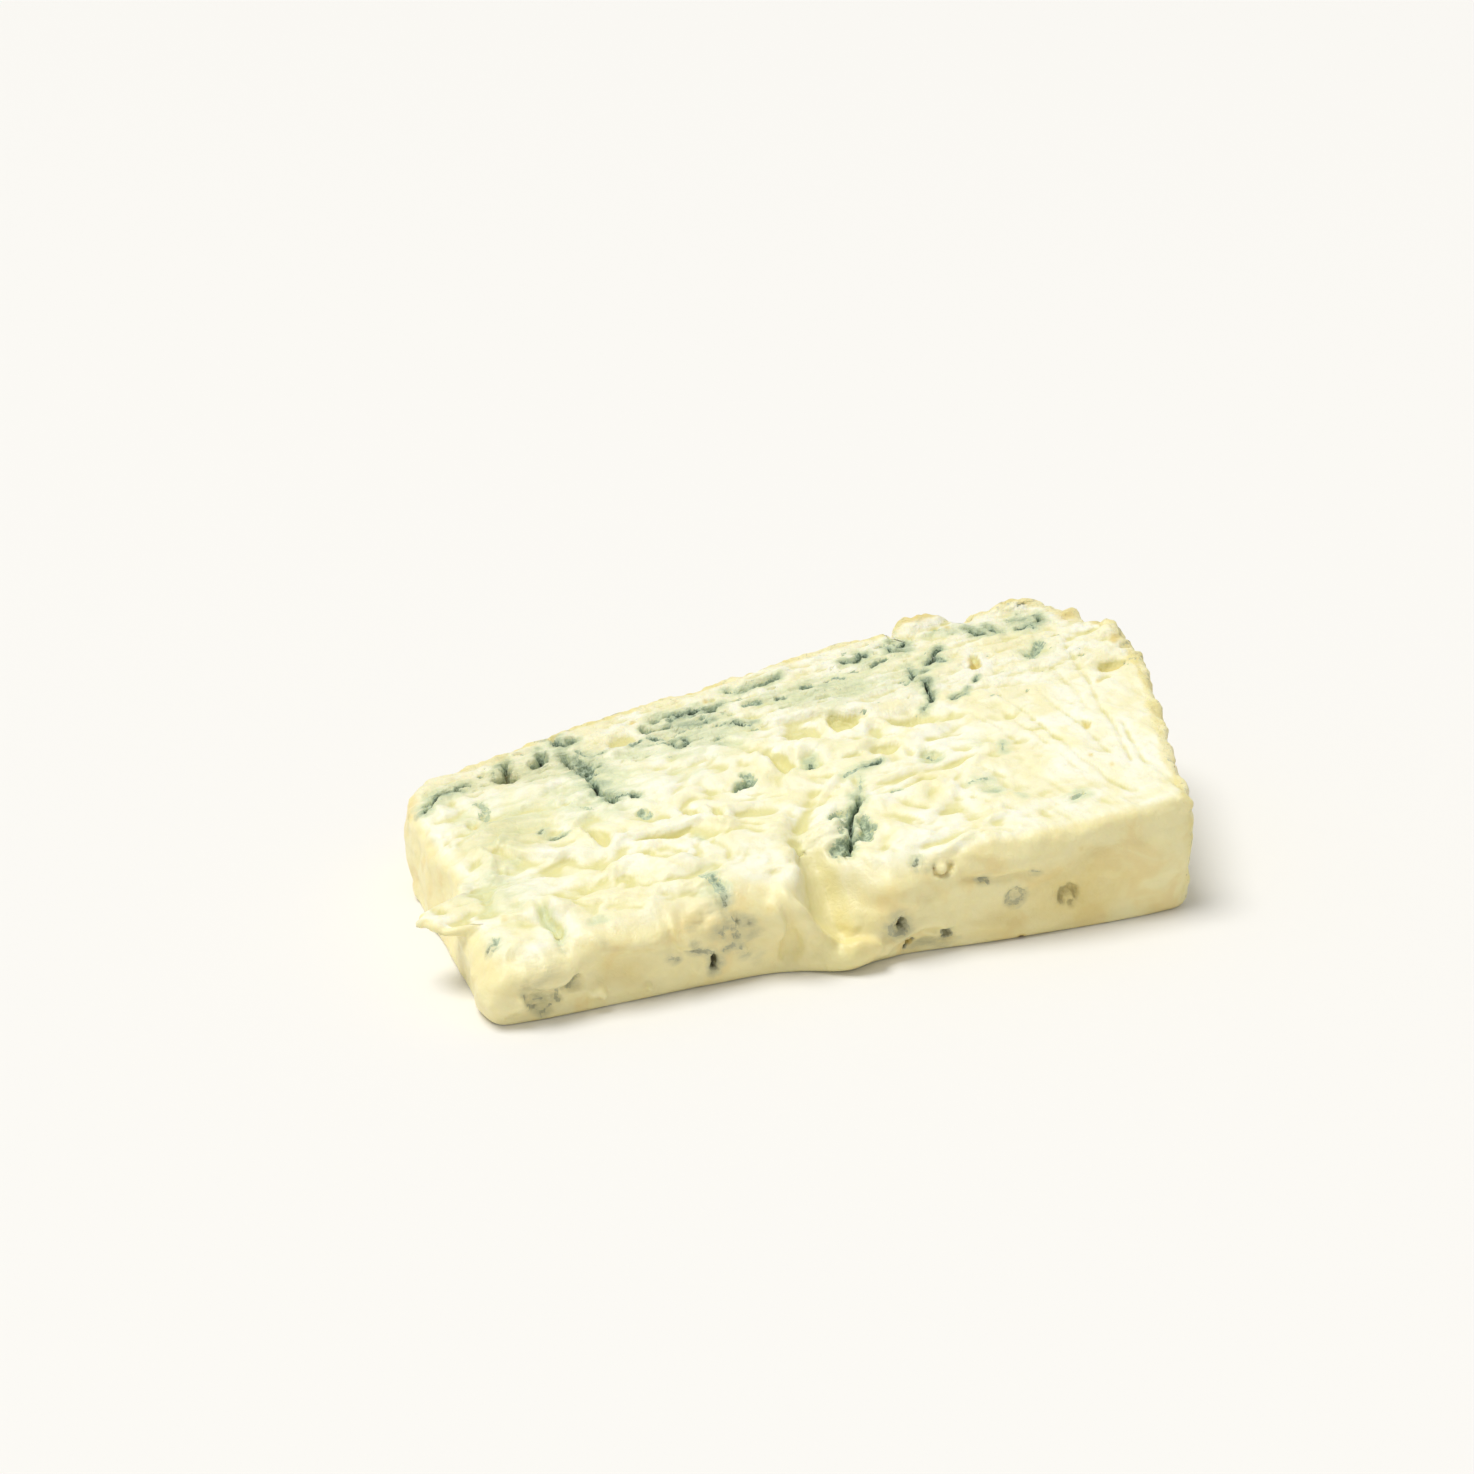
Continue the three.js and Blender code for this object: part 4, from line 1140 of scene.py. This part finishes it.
class Finish:
    """A material's node tree, with one method for each kind of node used here."""

    def __init__(self, name):
        self.material = bpy.data.materials.new(name)
        self.material.use_nodes = True
        self.tree = self.material.node_tree
        self.surface = self.tree.nodes["Principled BSDF"]

    def node(self, kind, inputs, **settings):
        """One node of a kind, with its settings, and its inputs given or linked."""
        made = self.tree.nodes.new(kind)
        for name, value in settings.items():
            setattr(made, name, value)
        for key, value in inputs.items():
            self.plug(made.inputs[key], value)
        return made

    def plug(self, socket, value):
        """Link the value if it is another node's output, or else set it."""
        if isinstance(value, bpy.types.NodeSocket):
            self.tree.links.new(value, socket)
        else:
            socket.default_value = value

    def place(self):
        """The point's place on the piece, in millimetres."""
        coordinates = self.node("ShaderNodeTexCoord", {}).outputs["Object"]
        return self.node("ShaderNodeMapping", {0: coordinates, 3: (1000, 1000, 1000)}).outputs[0]

    def kept(self, name):
        """A value stored on the mesh."""
        return self.node("ShaderNodeAttribute", {}, attribute_name=name).outputs["Fac"]

    def noise(self, place, size, detail=2.0, roughness=0.5, distortion=0.0):
        """Noise from 0 to 1 with blobs of the given size in millimetres."""
        inputs = {"Vector": place, "Scale": 1 / size, "Detail": detail, "Roughness": roughness,
                  "Distortion": distortion}
        return self.node("ShaderNodeTexNoise", inputs).outputs[0]

    def step(self, value, low, high):
        """A soft step from 0 to 1 as the value goes from low to high."""
        return self.node("ShaderNodeMapRange", {0: value, 1: low, 2: high},
                         interpolation_type="SMOOTHSTEP").outputs[0]

    def math(self, operation, a, b):
        """One sum, product or the like of two values."""
        return self.node("ShaderNodeMath", {0: a, 1: b}, operation=operation).outputs[0]

    def blend(self, share, first, second):
        """The first colour where share is 0, the second where it is 1."""
        return self.node("ShaderNodeMix", {0: share, 6: first, 7: second}, data_type="RGBA").outputs[2]


# %% [markdown]
# ## The paste
# One material covers the piece, as one paste makes it. Ivory and cream drift into each other. The
# hollows get a painted shade, darker and yellower, and the crests a painted highlight, paler. The cut
# walls are warmer and darker, partly paste dried there and partly painted half shade. Each tone is a
# blend whose share is a noise or a value kept on the mesh.

# %% Colour of the paste
look = Finish("blue_cheese_paste")
blend, step = look.blend, look.step
place = look.place()
mould_kept, bleed_kept, tan_and_shade_kept, rind_kept, hollow_shade_kept, wall_kept, crumbly_kept = (
    look.kept(name) for name in ("mould", "bleed", "tan", "rind", "hollow", "wall", "crumbly"))

drift_noise = look.noise(place, 11, 3, 0.55, 0.6)
fine_noise = look.noise(place, 2.2, 3, 0.6)
grain_noise = look.noise(place, 0.7, 2, 0.6)


def plus(a, b):
    """The sum of two values."""
    return look.math("ADD", a, b)


def times(a, b):
    """The product of two values."""
    return look.math("MULTIPLY", a, b)


def around(noise, strength):
    """Noise moved to swing round zero by half the strength each way."""
    return times(look.math("SUBTRACT", noise, 0.5), strength)


paste = blend(step(drift_noise, 0.35, 0.65), linear(252, 249, 226), linear(246, 239, 195))
paste = blend(times(step(fine_noise, 0.5, 0.75), 0.35), paste, linear(242, 232, 178))
# Partly dried paste and partly painted half shade: the cut walls are warmer and darker.
dried_and_shaded = blend(times(step(drift_noise, 0.48, 0.66), 0.7), linear(248, 234, 168), linear(240, 214, 142))
paste = blend(times(wall_kept, 0.75), paste, dried_and_shaded)
# Painted shade: hollows are darkened to a deeper yellow.
shade_and_highlight_share = plus(hollow_shade_kept, around(fine_noise, 0.3))
paste = blend(times(step(shade_and_highlight_share, -0.08, 0.8), 0.95), paste, linear(226, 219, 151))
# Painted highlight: crests are paled to near white.
paste = blend(times(step(shade_and_highlight_share, -0.1, -0.9), 0.35), paste, linear(254, 251, 226))
print("paste made of", len(look.tree.nodes), "nodes")

# %% [markdown]
# ## The blue
# The blue is laid in layers. A stain goes from a pale green breath, far from the mould, to grey green
# beside it. The felt of the mould lies over that, from pale to nearly black. Each layer starts at its
# own level, and noise frays its edge. On the walls the felt is frayed less and all layers are browner,
# partly as painted warm half shade of the cut walls.

# %% Stain and mould
streak_place = look.node("ShaderNodeMapping", {0: place, 3: (0.45, 1.2, 1.2)}).outputs[0]
streaks = look.noise(streak_place, 2.6, 4, 0.62, 0.4)
stain = times(bleed_kept, plus(1.0, around(streaks, 2.6)))
stain = plus(stain, around(drift_noise, 0.3))
colour = paste
# The second colour of each layer is its wall copy, browner partly as painted half shade.
for low, high, on_cut, on_wall in (
    (0.1, 0.5, linear(222, 227, 184), linear(216, 211, 166)),
    (0.4, 0.85, linear(184, 198, 162), linear(182, 180, 144)),
    (0.8, 1.15, linear(136, 152, 126), linear(142, 142, 112)),
):
    colour = blend(times(step(stain, low, high), 0.8), colour, blend(wall_kept, on_cut, on_wall))

calm = blend(wall_kept, (1, 1, 1, 1), (0.45, 0.45, 0.45, 1))
felt = plus(mould_kept, times(around(grain_noise, 1.5), calm))
felt = plus(felt, times(around(fine_noise, 1.0), calm))
felt = look.math("MINIMUM", felt, plus(mould_kept, 0.14))
# The second colour of each layer is its wall copy, browner partly as painted half shade.
for low, high, on_cut, on_wall in (
    (-0.06, 0.14, linear(190, 203, 170), linear(190, 188, 154)),
    (0.2, 0.42, linear(150, 166, 140), linear(148, 146, 114)),
    (0.46, 0.7, linear(100, 118, 94), linear(98, 94, 68)),
    # Nearly black: partly the mould's own dark and partly painted shade at the bottom of deep clefts.
    (0.7, 0.96, linear(40, 46, 32), linear(54, 47, 31)),
):
    colour = blend(step(felt, low, high), colour, blend(wall_kept, on_cut, on_wall))
print("paste and blue made of", len(look.tree.nodes), "nodes")

# %% [markdown]
# ## The rind and the tan marks
# The rind is the same paste dried to a straw-coloured skin, with grey patches and dark specks of
# other moulds. Tan marks lie on paste and rind alike, so they come last, and the strongest of them
# are brown scabs. The tan colour also carries the painted shade of a few broad marks.

# %% Rind and tan marks
rind_colour = blend(step(look.noise(place, 5, 3), 0.4, 0.62), linear(247, 237, 184), linear(240, 226, 154))
rind_colour = blend(step(look.noise(place, 2.4, 4, 0.65), 0.57, 0.7), rind_colour, linear(188, 190, 156))
rind_colour = blend(step(look.noise(place, 1.3, 3, 0.6), 0.65, 0.74), rind_colour, linear(104, 110, 90))
colour = blend(times(rind_kept, 0.9), colour, rind_colour)

tan_and_shade = plus(tan_and_shade_kept, times(around(fine_noise, 0.5), tan_and_shade_kept))
# Tan of dried paste, and on a few broad marks painted shade.
colour = blend(times(step(tan_and_shade, 0.05, 0.9), 0.85), colour, linear(228, 206, 124))
colour = blend(step(tan_and_shade, 0.9, 1.4), colour, linear(92, 56, 24))
print("all colours made of", len(look.tree.nodes), "nodes")

# %% [markdown]
# ## The moist surface
# Light goes a millimetre or so into the paste, so it has subsurface scattering. Its skin is moist and
# shines softly, while mould and rind are dry. A low bump adds the grain that is too fine for the mesh,
# most of it on crumbly paste and rind.

# %% Surface of the paste
paste_shader = look.surface
look.plug(paste_shader.inputs["Base Color"], colour)
gloss = plus(0.27, times(fine_noise, 0.2))
dry = look.math("MAXIMUM", times(step(felt, 0.0, 0.4), 0.45), times(rind_kept, 0.28))
look.plug(paste_shader.inputs["Roughness"], plus(gloss, dry))
paste_shader.inputs["Subsurface Weight"].default_value = 0.3
paste_shader.inputs["Subsurface Radius"].default_value = (1.0, 0.82, 0.5)
paste_shader.inputs["Subsurface Scale"].default_value = 0.0015
paste_shader.inputs["IOR"].default_value = 1.45

grain = plus(look.noise(place, 1.8, 5, 0.62, 1.3), times(grain_noise, 0.25))
grain_strength = plus(0.34, times(plus(crumbly_kept, rind_kept), 0.4))
grain_strength = plus(grain_strength, times(step(bleed_kept, 0.25, 0.7), 0.4))
bumped = look.node("ShaderNodeBump", {"Strength": grain_strength, "Distance": 0.0006, "Height": grain})
look.plug(paste_shader.inputs["Normal"], bumped.outputs[0])
mesh.materials.append(look.material)
print("material", look.material.name, "has", len(look.tree.nodes), "nodes")

# %% [markdown]
# ## Table, light and camera
# The piece is shown on a plain pale table. One broad soft light comes from high above, a little from
# the left and behind, as from a roof window, and the room round it is bright. So the top is nearly
# white and the front cut falls into a warm half shade.

# %% Floor
TABLE_HALF = 3.0  # half a side, in metres
table_corners = [(-TABLE_HALF, -TABLE_HALF, 0), (TABLE_HALF, -TABLE_HALF, 0),
                 (TABLE_HALF, TABLE_HALF, 0), (-TABLE_HALF, TABLE_HALF, 0)]
floor_mesh = bpy.data.meshes.new("table_top")
floor_mesh.from_pydata(table_corners, [], [(0, 1, 2, 3)])
floor = bpy.data.objects.new("table_top", floor_mesh)
bpy.context.scene.collection.objects.link(floor)
floor_finish = Finish("pale_table")
floor_finish.surface.inputs["Base Color"].default_value = linear(238, 236, 231)
floor_finish.surface.inputs["Roughness"].default_value = 0.9
floor_mesh.materials.append(floor_finish.material)
print("table of", 2 * TABLE_HALF, "m a side")


# %% Lights
def lamp(name, kind, power, spot, target=(0, 0, 0)):
    """A light at spot, in metres, that faces target. Returns its data, to be widened."""
    data = bpy.data.lights.new(name, kind)
    data.energy = power
    lit = bpy.data.objects.new(name, data)
    lit.location = spot
    lit.rotation_euler = (Vector(target) - Vector(spot)).to_track_quat("-Z", "Y").to_euler()
    bpy.context.scene.collection.objects.link(lit)
    return data


window = lamp("window", "SUN", 2.1, (-0.3, 0.12, 0.9))
window.angle = np.radians(32)
world = bpy.data.worlds.new("bright_room")
world.use_nodes = True
room = world.node_tree.nodes["Background"]
room.inputs["Color"].default_value = (1, 1, 1, 1)
room.inputs["Strength"].default_value = 0.51
bpy.context.scene.world = world
bpy.context.scene.view_settings.view_transform = "Standard"
print("window's sun of strength", round(window.energy, 2), "and the room's light of",
      round(room.inputs["Strength"].default_value, 2))

# %% Camera
CAMERA_SPOT = np.array([-90.1, -366.1, 206.9])  # from the front corner of the nose, in mm
CAMERA_TURN = 20.3  # degrees to the right of +Y
CAMERA_TILT = 22.0  # degrees below the horizon
LENS, SENSOR = 58.6, 36.0
camera_data = bpy.data.cameras.new("camera")
camera_data.lens = LENS
camera_data.sensor_width = SENSOR
camera_data.clip_start = 0.01
camera = bpy.data.objects.new("camera", camera_data)
camera.location = (CAMERA_SPOT + shift) / 1000
camera.rotation_euler = (np.radians(90 - CAMERA_TILT), 0, np.radians(-CAMERA_TURN))
bpy.context.scene.collection.objects.link(camera)
bpy.context.scene.camera = camera
print("camera at", [round(value, 3) for value in camera.location], "m")
